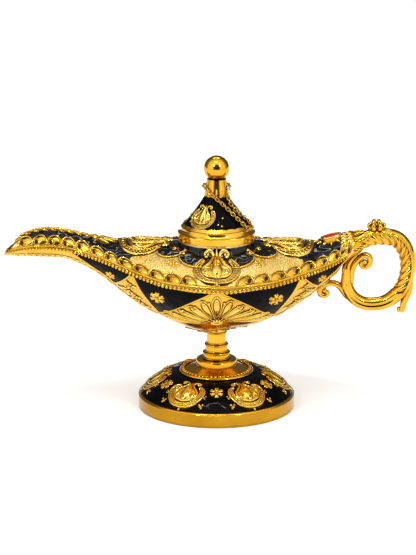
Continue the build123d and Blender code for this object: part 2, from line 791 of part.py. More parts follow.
with BuildPart() as finial_nut:
    with BuildSketch(Plane.XY.offset(stud_nut_base)):
        RegularPolygon(stud_nut_width / 2, 6, major_radius=False)
        Circle(stud_radius + thread_clearance, mode=Mode.SUBTRACT)
    extrude(amount=stud_nut_height)
finial_nut.part.label = "finial_nut"
export_step(finial_nut.part, "parts/finial_nut.step")

# Chain: a closed loop of links over the collar, hanging down the front of the cone. Each point
# of the route is an angle from the front toward the handle and a height above the lid seat.
chain_route = [
    (-71, 25.9), (-120, 26.3), (-180, 26.4), (-240, 26.4), (-264, 26.2), (-287, 25.3),
    (-303, 23.2), (-311, 20.2), (-310, 16.8), (-300, 13.6), (-289, 11.4), (-282, 9.0),
    (-284, 6.7), (-291.5, 5.8), (-300, 6.6), (-307, 9.0), (-315, 12.0), (-328, 16.0), (-351, 20.0),
    (-380, 22.9), (-404, 24.8),
]
cone_slope = (lid_base_radius - lid_top_radius) / lid_cone_height
link_bend = (link_width - link_wire) / 2
chain_lift = link_bend * sin(radians(link_lean)) + link_wire / 2 + chain_clearance


def chain_point(angle, height):
    cone_radius = lid_base_radius - (height - lid_rim_height) * cone_slope
    over_cone = cone_radius + chain_lift * hypot(1, cone_slope)
    collar_rise_share = (lid_seat + height - cone_top) / collar_height
    at_collar = collar_foot_radius - (collar_foot_radius - collar_top_radius) * collar_rise_share
    radius = max(over_cone, at_collar + chain_lift)
    return radius * sin(radians(angle)), -radius * cos(radians(angle)), lid_seat + height


with BuildLine() as chain_line:
    Spline(*[chain_point(angle, height) for angle, height in chain_route], periodic=True)
route = chain_line.line.edges()[0]
link_count = 2 * round(route.length / link_pitch / 2)


def link_place(index):
    share = index / link_count
    spot = route @ share
    outward = Vector(spot.X, spot.Y, hypot(spot.X, spot.Y) * cone_slope)
    lean = link_lean if index % 2 else -link_lean
    ahead = route % share
    across = ahead.cross(outward)
    return Plane(origin=spot, x_dir=ahead, z_dir=across.cross(ahead)).location * Rotation(lean, 0, 0)


link_run = link_length - link_width
with BuildPart() as single_link:
    with BuildLine() as link_path:
        Line((-link_run / 2, -link_bend), (link_run / 2, -link_bend))
        CenterArc((link_run / 2, 0), link_bend, -90, 180)
        Line((link_run / 2, link_bend), (-link_run / 2, link_bend))
        CenterArc((-link_run / 2, 0), link_bend, 90, 180)
    with BuildSketch(link_path.line ^ 0):
        Circle(link_wire / 2)
    sweep(path=link_path.line)

with BuildPart() as chain_links:
    with Locations(*[link_place(index) for index in range(1, link_count)]):
        add(single_link.part)
chain_links.part.label = "chain_links"
export_step(chain_links.part, "parts/chain_links.step")

with BuildPart() as chain_ring:
    with Locations(link_place(0)):
        Torus((link_length - link_wire) / 2, link_wire / 2)
chain_ring.part.label = "chain_ring"
export_step(chain_ring.part, "parts/chain_ring.step")
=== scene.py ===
import bpy
from bisect import bisect_right
from math import atan2, cos, exp, hypot, pi, radians, sin, sqrt
from mathutils import Matrix, Vector
from mathutils.bvhtree import BVHTree


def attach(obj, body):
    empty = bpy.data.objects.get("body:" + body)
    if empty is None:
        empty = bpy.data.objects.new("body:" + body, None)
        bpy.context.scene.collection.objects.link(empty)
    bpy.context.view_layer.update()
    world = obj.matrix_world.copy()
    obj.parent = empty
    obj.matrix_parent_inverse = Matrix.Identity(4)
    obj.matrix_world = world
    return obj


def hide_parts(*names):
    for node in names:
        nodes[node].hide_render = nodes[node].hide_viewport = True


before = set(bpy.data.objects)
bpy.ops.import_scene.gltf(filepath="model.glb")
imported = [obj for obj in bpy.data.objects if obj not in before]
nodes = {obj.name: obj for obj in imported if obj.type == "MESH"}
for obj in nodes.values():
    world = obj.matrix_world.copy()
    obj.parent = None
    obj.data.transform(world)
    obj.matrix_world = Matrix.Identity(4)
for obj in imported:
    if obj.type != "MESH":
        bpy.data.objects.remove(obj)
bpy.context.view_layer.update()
scene = bpy.context.scene
scene.view_settings.view_transform = "Standard"
mm = 0.001  # the drawings below are in millimetres
bpy.ops.object.select_all(action="DESELECT")
print("frame:", len(nodes), "nodes")


# camera, floor and light

view = {"eye": (-4.25, -1255.7, 402.7), "target": (-4.25, 0, 66.2), "lens": 168.65, "sensor": 36}
bpy.ops.object.camera_add(location=Vector(view["eye"]) * mm)
camera = bpy.context.object
gaze = Vector(view["target"]) - Vector(view["eye"])
camera.rotation_euler = gaze.to_track_quat("-Z", "Y").to_euler()
camera.data.sensor_fit = "VERTICAL"
camera.data.sensor_height = view["sensor"]
camera.data.lens = view["lens"]
scene.camera = camera

studio = {
    "floorSize": 9.0, "floorDrop": 0.0003, "floorColour": (0.93, 0.93, 0.92, 1), "floorRough": 0.85,
    "floorGloss": 0.1, "floorGlow": 0.27,
    "opening": (0.0, -0.966, 0.259),  # the tent's front, where the picture is taken from
    "tent": [  # brightness from behind to the front
        (0.0, 0.10), (0.42, 0.20), (0.58, 1.10), (0.86, 1.40), (0.915, 1.20), (0.945, 0.04)],
    "aim": (0.0, 0.0, 0.06),
    "softboxes": [  # place, width, height, watts
        ((-0.62, -1.02, 0.98), 0.022, 0.45, 3.2),
        ((0.70, -0.92, 0.95), 0.022, 0.40, 2.6),
        ((-0.10, -0.35, 1.25), 0.50, 0.022, 2.4),
        ((0.0, 0.55, 1.05), 0.70, 0.09, 1.4),
    ],
}


def layFloor():
    bpy.ops.mesh.primitive_plane_add(size=studio["floorSize"], location=(0, 0, -studio["floorDrop"]))
    floor = bpy.context.object
    floor.name = "studioFloor"
    paper = bpy.data.materials.new("floorPaper")
    paper.use_nodes = True
    tree = paper.node_tree
    shader = tree.nodes["Principled BSDF"]
    shader.inputs["Base Color"].default_value = studio["floorColour"]
    shader.inputs["Roughness"].default_value = studio["floorRough"]
    shader.inputs["Specular IOR Level"].default_value = studio["floorGloss"]
    shader.inputs["Emission Color"].default_value = (1, 1, 1, 1)
    path = tree.nodes.new("ShaderNodeLightPath")  # the white surround, for the view and for reflections
    seen = path.outputs["Is Camera Ray"]
    for name in ("Is Glossy Ray", "Is Transmission Ray"):
        either = tree.nodes.new("ShaderNodeMath")
        either.operation = "MAXIMUM"
        tree.links.new(seen, either.inputs[0])
        tree.links.new(path.outputs[name], either.inputs[1])
        seen = either.outputs[0]
    glow = tree.nodes.new("ShaderNodeMath")
    glow.operation = "MULTIPLY"
    glow.inputs[1].default_value = studio["floorGlow"]
    tree.links.new(seen, glow.inputs[0])
    tree.links.new(glow.outputs[0], shader.inputs["Emission Strength"])
    floor.data.materials.append(paper)


def hangLights():
    world = bpy.data.worlds.new("studioTent")
    scene.world = world
    world.use_nodes = True
    tree = world.node_tree
    back = tree.nodes["Background"]
    coord = tree.nodes.new("ShaderNodeTexCoord")
    toward = tree.nodes.new("ShaderNodeVectorMath")
    toward.operation = "DOT_PRODUCT"
    toward.inputs[1].default_value = Vector(studio["opening"]).normalized()
    lift = tree.nodes.new("ShaderNodeMapRange")
    lift.inputs["From Min"].default_value = -1
    ramp = tree.nodes.new("ShaderNodeValToRGB")
    tree.links.new(coord.outputs["Generated"], toward.inputs[0])
    tree.links.new(toward.outputs["Value"], lift.inputs["Value"])
    tree.links.new(lift.outputs[0], ramp.inputs[0])
    while len(ramp.color_ramp.elements) < len(studio["tent"]):
        ramp.color_ramp.elements.new(0.5)
    for stop, (place, level) in zip(ramp.color_ramp.elements, studio["tent"]):
        stop.position = place
        stop.color = (level, level, level, 1)
    tree.links.new(ramp.outputs[0], back.inputs["Color"])
    for index, (place, wide, tall, watts) in enumerate(studio["softboxes"]):
        bpy.ops.object.light_add(type="AREA", location=place)
        box = bpy.context.object
        box.name = "softbox%d" % index
        box.data.shape = "RECTANGLE"
        box.data.size = wide
        box.data.size_y = tall
        box.data.energy = watts
        heading = Vector(studio["aim"]) - Vector(place)
        box.rotation_euler = heading.to_track_quat("-Z", "Y").to_euler()


layFloor()
hangLights()
print("camera and light set")


# finishes

def noiseOn(tree, where, scale, detail=3.0):
    noise = tree.nodes.new("ShaderNodeTexNoise")
    noise.inputs["Scale"].default_value = scale
    noise.inputs["Detail"].default_value = detail
    tree.links.new(where, noise.inputs["Vector"])
    return noise.outputs["Fac"]


def rangeOf(tree, value, low, high, fromLow=0.35, fromHigh=0.65):
    span = tree.nodes.new("ShaderNodeMapRange")
    for key, number in (("From Min", fromLow), ("From Max", fromHigh), ("To Min", low), ("To Max", high)):
        span.inputs[key].default_value = number
    tree.links.new(value, span.inputs["Value"])
    return span.outputs[0]


def bumpOn(tree, shader, height, strength, deep):
    bump = tree.nodes.new("ShaderNodeBump")
    bump.inputs["Strength"].default_value = strength
    bump.inputs["Distance"].default_value = deep
    tree.links.new(height, bump.inputs["Height"])
    tree.links.new(bump.outputs[0], shader.inputs["Normal"])


def startFinish(name, look, stops=(0.3, 0.7), detail=3.0):  # clouded colour and smeared gloss
    made = bpy.data.materials.new(name)
    made.use_nodes = True
    tree = made.node_tree
    shader = tree.nodes["Principled BSDF"]
    where = tree.nodes.new("ShaderNodeTexCoord").outputs["Object"]
    ramp = tree.nodes.new("ShaderNodeValToRGB")
    for stop, place, tone in zip(ramp.color_ramp.elements, stops, (look["deep"], look["bright"])):
        stop.position = place
        stop.color = (*tone, 1)
    tree.links.new(noiseOn(tree, where, look["clouds"]), ramp.inputs[0])
    tree.links.new(ramp.outputs[0], shader.inputs["Base Color"])
    gloss = rangeOf(tree, noiseOn(tree, where, look["smears"], detail), *look["rough"])
    tree.links.new(gloss, shader.inputs["Roughness"])
    return made, shader, tree, where


plating = {"stops": (0.35, 0.65), "detail": 5.0, "aoShade": (0.30, 0.92), "nookSamples": 8, "grainDepth": 0.0003}


def goldFinish(name, look):
    made, shader, tree, where = startFinish(name, look, plating["stops"], plating["detail"])
    shader.inputs["Metallic"].default_value = 1.0
    paintedShade = tree.nodes.new("ShaderNodeAmbientOcclusion")  # painted shade: ambient occlusion darkens the colour in the nooks
    paintedShade.inputs["Distance"].default_value = look["nookReach"]
    paintedShade.samples = plating["nookSamples"]
    aoShade = tree.nodes.new("ShaderNodeMix")
    aoShade.data_type = "RGBA"
    aoShade.inputs[6].default_value = (*look["paintedShade"], 1)
    tree.links.new(rangeOf(tree, paintedShade.outputs["AO"], 0.0, 1.0, *plating["aoShade"]), aoShade.inputs[0])
    tree.links.new(shader.inputs["Base Color"].links[0].from_socket, aoShade.inputs[7])
    tree.links.new(aoShade.outputs[2], shader.inputs["Base Color"])
    grain = tree.nodes.new("ShaderNodeTexVoronoi")  # fine stipple or plating grain
    grain.inputs["Scale"].default_value = look["grain"]
    tree.links.new(where, grain.inputs["Vector"])
    bumpOn(tree, shader, grain.outputs["Distance"], look["bump"], plating["grainDepth"])
    return made


polishedGold = goldFinish("polishedGold", {
    "deep": (0.72, 0.37, 0.022), "bright": (0.86, 0.49, 0.055), "paintedShade": (0.12, 0.040, 0.002),
    "nookReach": 0.0020, "clouds": 55, "smears": 240, "rough": (0.08, 0.15), "grain": 2600, "bump": 0.02,
})
castGold = goldFinish("castGold", {
    "deep": (0.76, 0.41, 0.034), "bright": (0.90, 0.55, 0.08), "paintedShade": (0.16, 0.058, 0.004),
    "nookReach": 0.0015, "clouds": 90, "smears": 420, "rough": (0.12, 0.22), "grain": 2200, "bump": 0.06,
})
brightenedGold = goldFinish("brightenedGold", {  # painted light: a lighter copy of the gold for palmettes, fans and leaves, so that they read bright in shade and in gold-on-gold reflections
    "deep": (0.84, 0.50, 0.062), "bright": (0.95, 0.64, 0.14), "paintedShade": (0.12, 0.040, 0.002),
    "nookReach": 0.0014, "clouds": 90, "smears": 420, "rough": (0.11, 0.20), "grain": 2200, "bump": 0.05,
})
goldFinish("stippledGold", {
    "deep": (0.84, 0.53, 0.11), "bright": (0.92, 0.66, 0.22), "paintedShade": (0.26, 0.10, 0.010),
    "nookReach": 0.0016, "clouds": 120, "smears": 700, "rough": (0.24, 0.36), "grain": 1500, "bump": 0.6,
})
goldFinish("darkenedFootGold", {  # painted shade: a darker copy of the polished gold for the spun foot, for the darker reflections it shows
    "deep": (0.44, 0.22, 0.010), "bright": (0.58, 0.30, 0.020), "paintedShade": (0.10, 0.034, 0.002),
    "nookReach": 0.0020, "clouds": 40, "smears": 200, "rough": (0.07, 0.13), "grain": 2600, "bump": 0.02,
})
shadedGold = goldFinish("shadedGold", {  # painted shade: near-black gold put on the bottoms of recesses
    "deep": (0.030, 0.012, 0.001), "bright": (0.09, 0.036, 0.004), "paintedShade": (0.02, 0.007, 0.001),
    "nookReach": 0.0010, "clouds": 300, "smears": 700, "rough": (0.40, 0.55), "grain": 1800, "bump": 0.2,
})
goldFinish("chainGold", {
    "deep": (0.74, 0.40, 0.04), "bright": (0.90, 0.55, 0.10), "paintedShade": (0.16, 0.06, 0.004),
    "nookReach": 0.0008, "clouds": 260, "smears": 900, "rough": (0.12, 0.22), "grain": 3200, "bump": 0.05,
})

glass = {
    "deep": (0.0008, 0.0008, 0.001), "bright": (0.003, 0.0027, 0.0024), "clouds": 70, "smears": 300,
    "rough": (0.03, 0.08), "ripples": 150,
}


def enamelFinish(name, look):  # black glass, pooled a little uneven
    made, shader, tree, where = startFinish(name, glass)
    shader.inputs["Specular IOR Level"].default_value = look["gloss"]
    bumpOn(tree, shader, noiseOn(tree, where, glass["ripples"], 1), look["waves"], look["swell"])
    return made


def plainFinish(name, look):
    made, shader = startFinish(name, look)[:2]
    shader.inputs["Specular IOR Level"].default_value = look["gloss"]
    shader.inputs["Metallic"].default_value = look["metal"]
    return made


blackEnamel = enamelFinish("blackEnamel", {"gloss": 0.32, "waves": 1.0, "swell": 0.0022})
panelEnamel = enamelFinish("panelEnamel", {"gloss": 0.05, "waves": 0.5, "swell": 0.0012})  # lies smoother
plainFinish("redStone", {
    "deep": (0.42, 0.001, 0.004), "bright": (0.78, 0.006, 0.012), "clouds": 400, "smears": 900,
    "rough": (0.02, 0.06), "gloss": 0.3, "metal": 0.0,
})
plainFinish("rodSteel", {
    "deep": (0.40, 0.39, 0.37), "bright": (0.58, 0.57, 0.55), "clouds": 200, "smears": 800,
    "rough": (0.25, 0.45), "gloss": 0.5, "metal": 1.0,
})

dressing = {
    "darkenedFootGold": ["foot_shell"],
    "polishedGold": ["bead_collar", "stem_flange", "stem_lower_ferrule", "stem_middle_ferrule",
                     "stem_upper_ferrule", "rim_moulding", "bead_row", "handle", "handle_rosette",
                     "gem_bezel", "lid_rim", "lid_plug", "lid_cone", "finial_collar", "finial_ball"],
    "castGold": ["lower_bowl", "shell_palmettes", "foot_palmettes"],
    "stippledGold": ["upper_shell"],
    "panelEnamel": ["foot_enamel", "lid_enamel"],
    "redStone": ["gem"],
    "rodSteel": ["tie_rod", "rod_nut_top", "rod_washer_top", "rod_nut_bottom", "rod_washer_bottom",
                 "finial_stud", "finial_nut"],
    "chainGold": ["chain_links", "chain_ring"],
}
for finishName, members in dressing.items():
    for member in members:
        for slot in nodes[member].material_slots:
            slot.material = bpy.data.materials[finishName]
print("finishes on", sum(len(members) for members in dressing.values()), "nodes")


# tools for modelling ornament flat and laying it on the lamp

seamGap = 0.00002  # vertices this near are one
standOff = 25.0  # how far outside the hull the laying rays start
creaseAngle = 50


def pickOnly(*pieces):
    bpy.ops.object.select_all(action="DESELECT")
    for piece in pieces:
        piece.select_set(True)
    bpy.context.view_layer.objects.active = pieces[0]


def joinUp(name, pieces):
    pickOnly(*pieces)
    if len(pieces) > 1:
        bpy.ops.object.join()
    piece = bpy.context.view_layer.objects.active
    piece.name = name
    piece.data.name = name
    return piece


def copyOf(piece):
    other = piece.copy()
    other.data = piece.data.copy()
    scene.collection.objects.link(other)
    return other


def reshape(piece, move):
    for vert in piece.data.vertices:
        vert.co = Vector(move(*(vert.co / mm))) * mm
    return piece


def readOff(table, x):  # straight-line values of a table whose first column is the place
    for a, b in zip(table, table[1:]):
        if x <= b[0]:
            share = min(max((x - a[0]) / (b[0] - a[0]), 0), 1)
            return [p + (q - p) * share for p, q in zip(a[1:], b[1:])]
    return list(table[-1][1:])


def wire(points, closed=False, sides=2, steps=5):  # points end in their radius: (u, v, r) or (x, y, z, r)
    bpy.ops.object.select_all(action="DESELECT")
    bpy.ops.curve.primitive_bezier_curve_add(location=(0, 0, 0))
    bent = bpy.context.object
    line = bent.data.splines[0]
    line.bezier_points.add(len(points) - 2)
    for knot, spot in zip(line.bezier_points, points):
        knot.co = Vector(spot[:3] if len(spot) == 4 else (spot[0], spot[1], 0)) * mm
        knot.radius = spot[-1]
        knot.handle_left_type = "AUTO"
        knot.handle_right_type = "AUTO"
    line.use_cyclic_u = closed
    line.resolution_u = steps
    bent.data.bevel_depth = mm
    bent.data.bevel_resolution = sides
    bent.data.use_fill_caps = not closed
    bpy.ops.object.convert(target="MESH")
    return bpy.context.object


lobeTip = {"from": -0.35, "sink": 0.6}  # where a lobe starts to narrow, and how far its tip sinks


# a domed lobe, drawn to a point by taper
def boss(u, v, wide, long, tall, turn=0.0, taper=0.0, segments=12, rings=8, up=0.0):
    bpy.ops.object.select_all(action="DESELECT")
    bpy.ops.mesh.primitive_uv_sphere_add(segments=segments, ring_count=rings, radius=mm, location=(0, 0, 0))
    lobe = bpy.context.object

    def narrow(x, y, z):
        gone = max(0, y - lobeTip["from"]) / (1 - lobeTip["from"])
        return x * (1 - taper * gone), y, z * (1 - lobeTip["sink"] * taper * max(0, y))
    if taper:
        reshape(lobe, narrow)
    lobe.data.transform(Matrix.Translation((u * mm, v * mm, up * mm)) @ Matrix.Rotation(turn, 4, "Z")
                        @ Matrix.Diagonal((wide, long, tall, 1)))
    return lobe


def dotAt(u, v, radius, up=0.0):
    return boss(u, v, radius, radius, radius, segments=8, rings=6, up=up)


def stretches(points, count):  # evenly counted places on a line: which stretch, and the share of it
    for index in range(count):
        place = index / (count - 1) * (len(points) - 1)
        k = min(int(place), len(points) - 2)
        yield k, place - k


def smoothLine(points, count):  # a smooth line through the points
    before = tuple(2 * a - b for a, b in zip(points[0], points[1]))
    after = tuple(2 * a - b for a, b in zip(points[-1], points[-2]))
    ends = [before, *points, after]
    made = []
    for k, t in stretches(points, count):
        made.append(tuple(0.5 * (2 * b + (c - a) * t + (2 * a - 5 * b + 4 * c - d) * t * t
                                 + (3 * b - a - 3 * c + d) * t ** 3) for a, b, c, d in zip(*ends[k:k + 4])))
    return made


def straightLine(points, count):
    return [tuple(a + (b - a) * t for a, b in zip(points[k], points[k + 1]))
            for k, t in stretches(points, count)]


def gridSheet(along, across):  # both ways from -1 to 1
    bpy.ops.object.select_all(action="DESELECT")
    bpy.ops.mesh.primitive_grid_add(x_subdivisions=along, y_subdivisions=across, size=2 * mm,
                                    location=(0, 0, 0))
    return bpy.context.object


# a thickened sheet between two edges
def plate(oneEdge, otherEdge, along, across, thick, crown=0.0, line=smoothLine):
    sheet = gridSheet(along, across)
    first, last = line(oneEdge, along + 1), line(otherEdge, along + 1)

    def spread(x, y, z):
        k = round((x + 1) / 2 * along)
        u, v = (a + (b - a) * (y + 1) / 2 for a, b in zip(first[k], last[k]))
        return u, v, crown * (1 - y * y)
    return thicken(reshape(sheet, spread), thick)


def weld(piece, closed=False):  # join the seams, and close the ends of a tube
    pickOnly(piece)
    bpy.ops.object.mode_set(mode="EDIT")
    bpy.ops.mesh.select_all(action="SELECT")
    bpy.ops.mesh.remove_doubles(threshold=seamGap)
    if closed:
        bpy.ops.mesh.fill_holes(sides=0)
    bpy.ops.mesh.normals_make_consistent(inside=False)
    bpy.ops.object.mode_set(mode="OBJECT")


def thicken(sheet, thick):
    weld(sheet)
    if sum(face.normal.z * face.area for face in sheet.data.polygons) < 0:
        sheet.data.flip_normals()
    solid = sheet.modifiers.new("thick", "SOLIDIFY")
    solid.thickness = thick * mm
    solid.offset = 0
    bpy.ops.object.modifier_apply(modifier="thick")
    return sheet


def skinOf(*names):
    corners, faces = [], []
    for name in names:
        base = len(corners)
        corners += [vert.co.copy() for vert in nodes[name].data.vertices]
        faces += [tuple(base + index for index in face.vertices) for face in nodes[name].data.polygons]
    return BVHTree.FromPolygons(corners, faces)


def lay(piece, aim, lift=0.0):  # bend a flat piece on to a skin along the aim's rays
    for vert in piece.data.vertices:
        u, v, w = vert.co / mm
        skin, start, heading = aim(u, v)
        spot, normal = skin.ray_cast(start, heading)[:2]
        if spot is None:
            spot, normal = skin.find_nearest(start + heading * standOff * mm)[:2]
        if normal.dot(heading) > 0:
            normal = -normal
        vert.co = spot + normal * ((w + lift) * mm)
    piece.data.update()
    return piece


def layAll(pieces, aim, lift=0.0):
    return [lay(piece, aim, lift) for piece in pieces]


def settle(name, pieces, body, finishMade):  # one piece: outward faces, finish, body and slot
    piece = joinUp(name, pieces)
    bpy.ops.object.mode_set(mode="EDIT")
    bpy.ops.mesh.select_all(action="SELECT")
    bpy.ops.mesh.normals_make_consistent(inside=False)
    bpy.ops.object.mode_set(mode="OBJECT")
    bpy.ops.object.shade_smooth_by_angle(angle=radians(creaseAngle))
    piece.data.materials.clear()
    piece.data.materials.append(finishMade)
    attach(piece, body)
    bpy.ops.object.select_all(action="DESELECT")
    return piece


# the hull's lines: station, half breadth, rim, crown and keel
hullLines = [
    (-108.0, 3.4, 78.8, 81.8, 77.7), (-104.0, 4.6, 80.0, 84.2, 77.8), (-98.0, 5.9, 81.7, 87.3, 77.8),
    (-91.0, 7.6, 82.8, 90.2, 77.8), (-83.0, 8.4, 83.1, 91.2, 77.6), (-75.0, 9.4, 82.5, 90.3, 76.9),
    (-67.0, 11.4, 81.2, 88.6, 73.8), (-58.0, 15.6, 79.2, 86.5, 69.0), (-48.0, 21.6, 76.6, 85.1, 61.2),
    (-36.0, 29.0, 73.3, 84.7, 52.6), (-22.0, 36.8, 70.9, 84.9, 45.2), (0.0, 42.0, 69.7, 85.4, 40.7),
    (22.0, 36.2, 70.5, 84.9, 44.4), (36.0, 28.8, 71.9, 84.2, 51.4), (48.0, 20.2, 73.9, 84.2, 59.2),
    (57.0, 12.8, 75.6, 85.7, 66.8), (63.0, 9.0, 77.9, 88.0, 73.1), (68.0, 6.4, 80.2, 89.2, 77.3),
]
stationPlaces = [line[0] for line in hullLines]


def hullAt(x):
    k = min(max(bisect_right(stationPlaces, x) - 1, 0), len(hullLines) - 2)
    a, b = hullLines[k], hullLines[k + 1]
    before, after = hullLines[max(k - 1, 0)], hullLines[min(k + 2, len(hullLines) - 1)]
    span = b[0] - a[0]
    t = min(max((x - a[0]) / span, 0), 1)
    found = []
    for column in range(1, 5):
        slopeA = (b[column] - before[column]) / (b[0] - before[0]) * span
        slopeB = (after[column] - a[column]) / (after[0] - a[0]) * span
        found.append((2 * t ** 3 - 3 * t ** 2 + 1) * a[column] + (t ** 3 - 2 * t ** 2 + t) * slopeA
                     + (3 * t ** 2 - 2 * t ** 3) * b[column] + (t ** 3 - t ** 2) * slopeB)
    return found


def arcOf(x, above):
    half, rimHeight, crown, keel = hullAt(x)
    rise = crown - rimHeight if above else rimHeight - keel
    radius = (half * half + rise * rise) / (2 * rise)
    return radius, 2 * atan2(rise, half), rimHeight, rise


def girthAt(x, above):  # the way round the section from the rim to the crown or the keel
    radius, full = arcOf(x, above)[:2]
    return radius * full


hullSkin = skinOf("upper_shell", "lower_bowl")
neckSkin = skinOf("upper_shell")
footSkin = skinOf("foot_enamel")
lidSkin = skinOf("lid_enamel")


def hullAim(side, x0=0.0, v0=0.0):  # x along the hull, v up (or down) from the rim round the section
    def aim(u, w):
        x, v = x0 + u, v0 + w
        radius, full, rimHeight, rise = arcOf(x, v >= 0)
        angle = full - abs(v) / radius
        flip = 1 if v >= 0 else -1
        out = Vector((0, side * sin(angle), flip * cos(angle)))
        middle = Vector((x, 0, rimHeight + flip * (rise - radius)))
        return hullSkin, (middle + out * (radius + standOff)) * mm, -out
    return aim


aimFrom = {"above": 140, "overFoot": 60, "beside": 60, "domeClimb": 0.87}
cone = {"reach": 17.6, "foot": 92.8, "slope": 0.745, "climb": 0.8, "least": 5}  # the lid's outline


def plumbAim(x0=0.0, y0=0.0, turn=0.0, below=False):  # straight down (or up) on a place, turned round it
    def aim(u, v):
        x = x0 + u * cos(turn) - v * sin(turn)
        y = y0 + u * sin(turn) + v * cos(turn)
        skin, z, way = (hullSkin, 0, 1) if below else (neckSkin, aimFrom["above"], -1)
        return skin, Vector((x, y, z)) * mm, Vector((0, 0, way))
    return aim


def footAim(azimuth, radius):  # u round the foot, v up its dome
    def aim(u, v):
        r = radius - aimFrom["domeClimb"] * v
        angle = azimuth + u / r
        start = Vector((r * sin(angle), -r * cos(angle), aimFrom["overFoot"])) * mm
        return footSkin, start, Vector((0, 0, -1))
    return aim


def lidAim(azimuth, height):  # u round the cone, v up its slope
    def aim(u, v):
        z = height + cone["climb"] * v
        r = cone["reach"] - (z - cone["foot"]) * cone["slope"]
        angle = azimuth + u / max(r, cone["least"])
        out = Vector((sin(angle), -cos(angle), 0))
        return lidSkin, (out * aimFrom["beside"] + Vector((0, 0, z))) * mm, -out
    return aim


def onHull(side, x, v):
    skin, start, heading = hullAim(side)(x, v)
    spot = skin.ray_cast(start, heading)[0] or skin.find_nearest(start + heading * standOff * mm)[0]
    return spot / mm


quarters = [(across, side) for across in (-1, 1) for side in (-1, 1)]
print("modelling tools ready")


# rim: string of beads on the seam, smooth strip and flat band above it

rim = {
    "from": -105.0, "to": 65.5, "knots": 48, "steps": 1600, "beadRise": 0.1, "beadPitch": 2.1,
    "bandLow": 0.7, "bandLap": 0.35, "bandThick": 0.4,
    "bead": [(-105, 0.62), (-85, 0.78), (-60, 0.92), (-30, 1.0), (30, 1.0), (50, 0.95), (66, 0.75)],
    "strip": [(-105, 1.25, .36), (-72, 1.45, .50), (-45, 1.8, .66), (-20, 2.1, .76), (0, 2.15, .78),
              (20, 2.1, .76), (45, 1.8, .66), (66, 1.4, .48)],  # place, rise over the seam, radius
    "shelf": [(-103, 1.5), (-60, 1.9), (-45, 2.5), (-25, 3.2), (0, 3.4), (25, 3.2), (45, 2.4), (66, 1.6)],
}


def shelfAt(x):  # how far up from the rim the scallops stand
    return readOff(rim["shelf"], x)[0]


def beadPlaces(side):  # beads touch, so their spacing follows their size
    made, gone = [], 0.0
    last = onHull(side, rim["from"], rim["beadRise"])
    for k in range(1, rim["steps"]):
        x = rim["from"] + (rim["to"] - rim["from"]) * k / rim["steps"]
        spot = onHull(side, x, rim["beadRise"])
        gone += (spot - last).length
        last = spot
        radius = readOff(rim["bead"], x)[0]
        if gone >= rim["beadPitch"] * radius:
            made.append((spot, radius))
            gone = 0.0
    return made


def rimPieces():
    strips, beads, bands = [], [], []
    seed = dotAt(0, 0, 1)
    xs = [rim["from"] + (rim["to"] + 1 - rim["from"]) * k / rim["knots"] for k in range(rim["knots"] + 1)]
    for side in (-1, 1):
        strip = wire([(x, *readOff(rim["strip"], x)) for x in xs], sides=3, steps=4)
        strips.append(lay(strip, hullAim(side), 0.12))
        for spot, radius in beadPlaces(side):
            bead = copyOf(seed)
            bead.data.transform(Matrix.Translation(spot * mm) @ Matrix.Scale(radius, 4))
            beads.append(bead)
        low = [(x, rim["bandLow"]) for x in xs]
        high = [(x, shelfAt(x) + rim["bandLap"]) for x in xs]
        bands.append(lay(plate(low, high, 140, 4, rim["bandThick"]), hullAim(side), 0.05))
    bpy.data.objects.remove(seed)
    strip = settle("rimStrip", strips, "lamp", polishedGold)
    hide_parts("rim_moulding")
    string = settle("rimBeads", beads, "lamp", polishedGold)
    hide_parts("bead_row")
    settle("rimBand", bands, "lamp", polishedGold)


rimPieces()
print("rim strip, beads and band")


# running scallops over the rim: a ridge that curls in at its foot, a stippled belly and an eye painted
# near-black as shade

scallop = {
    "unit": 8.0,  # drawn eight millimetres wide and high, scaled to each place
    "tall": [(-98, 5.5), (-60, 5.8), (-30, 5.6), (30, 5.6), (67, 5.4)],
    "left": [-98.4, -91.2, -83.9, -76.9, -69.8, -62.5, -55.3, -48.6, -41.0, -33.2, -25.7, -17.6, -9.8],
    "right": [67.2, 61.0, 54.9, 48.4, 41.2, 34.0, 26.2, 18.0, 9.8],
    "ridge": [(1.01, 0.00, .42), (0.98, 0.36, .48), (0.85, 0.74, .54), (0.55, 0.96, .56), (0.22, 0.80, .54),
              (0.05, 0.46, .50), (0.02, 0.14, .44)],
    "swirl": [(0.08, 0.06, .30), (0.32, 0.02, .32), (0.49, 0.20, .34), (0.46, 0.46, .34), (0.30, 0.60, .30),
              (0.16, 0.50, .24)],
    "belly": (0.60, 0.40, 0.34, 0.42), "bellyTall": 0.30, "eye": (0.27, 0.31, 0.13, 0.19), "eyeTall": 0.62,
}


def runScallops():
    unit = scallop["unit"]
    belly, eye = ([share * unit for share in scallop[key]] for key in ("belly", "eye"))
    lines = [wire([(u * unit, v * unit, up, r) for u, v, r in scallop[key]], steps=4)
             for key, up in (("ridge", 0.22), ("swirl", 0.32))]
    lines.append(boss(*belly, scallop["bellyTall"], segments=18, rings=10))
    seeds = [joinUp("scallopSeed", lines), boss(*eye, scallop["eyeTall"])]
    rows = [[], []]
    for side in (-1, 1):
        for edges in (scallop["left"], scallop["right"]):
            for outer, inner in zip(edges, edges[1:]):
                tall = readOff(scallop["tall"], (outer + inner) / 2)[0] / unit
                step = (inner - outer) / unit
                for seed, row in zip(seeds, rows):
                    one = copyOf(seed)
                    reshape(one, lambda u, v, w: (outer + u * step, shelfAt(outer + u * step) + v * tall, w))
                    row.append(lay(one, hullAim(side), 0.05))
    for seed in seeds:
        bpy.data.objects.remove(seed)
    settle("scallopRow", rows[0], "lamp", castGold)
    # the eyes are near-black painted shade in the curl's hollow
    settle("scallopEyeShade", rows[1], "lamp", shadedGold)


runScallops()
print("scallops")


# palmette: a teardrop in an onion-shaped cup, volutes above, a pearled crescent below

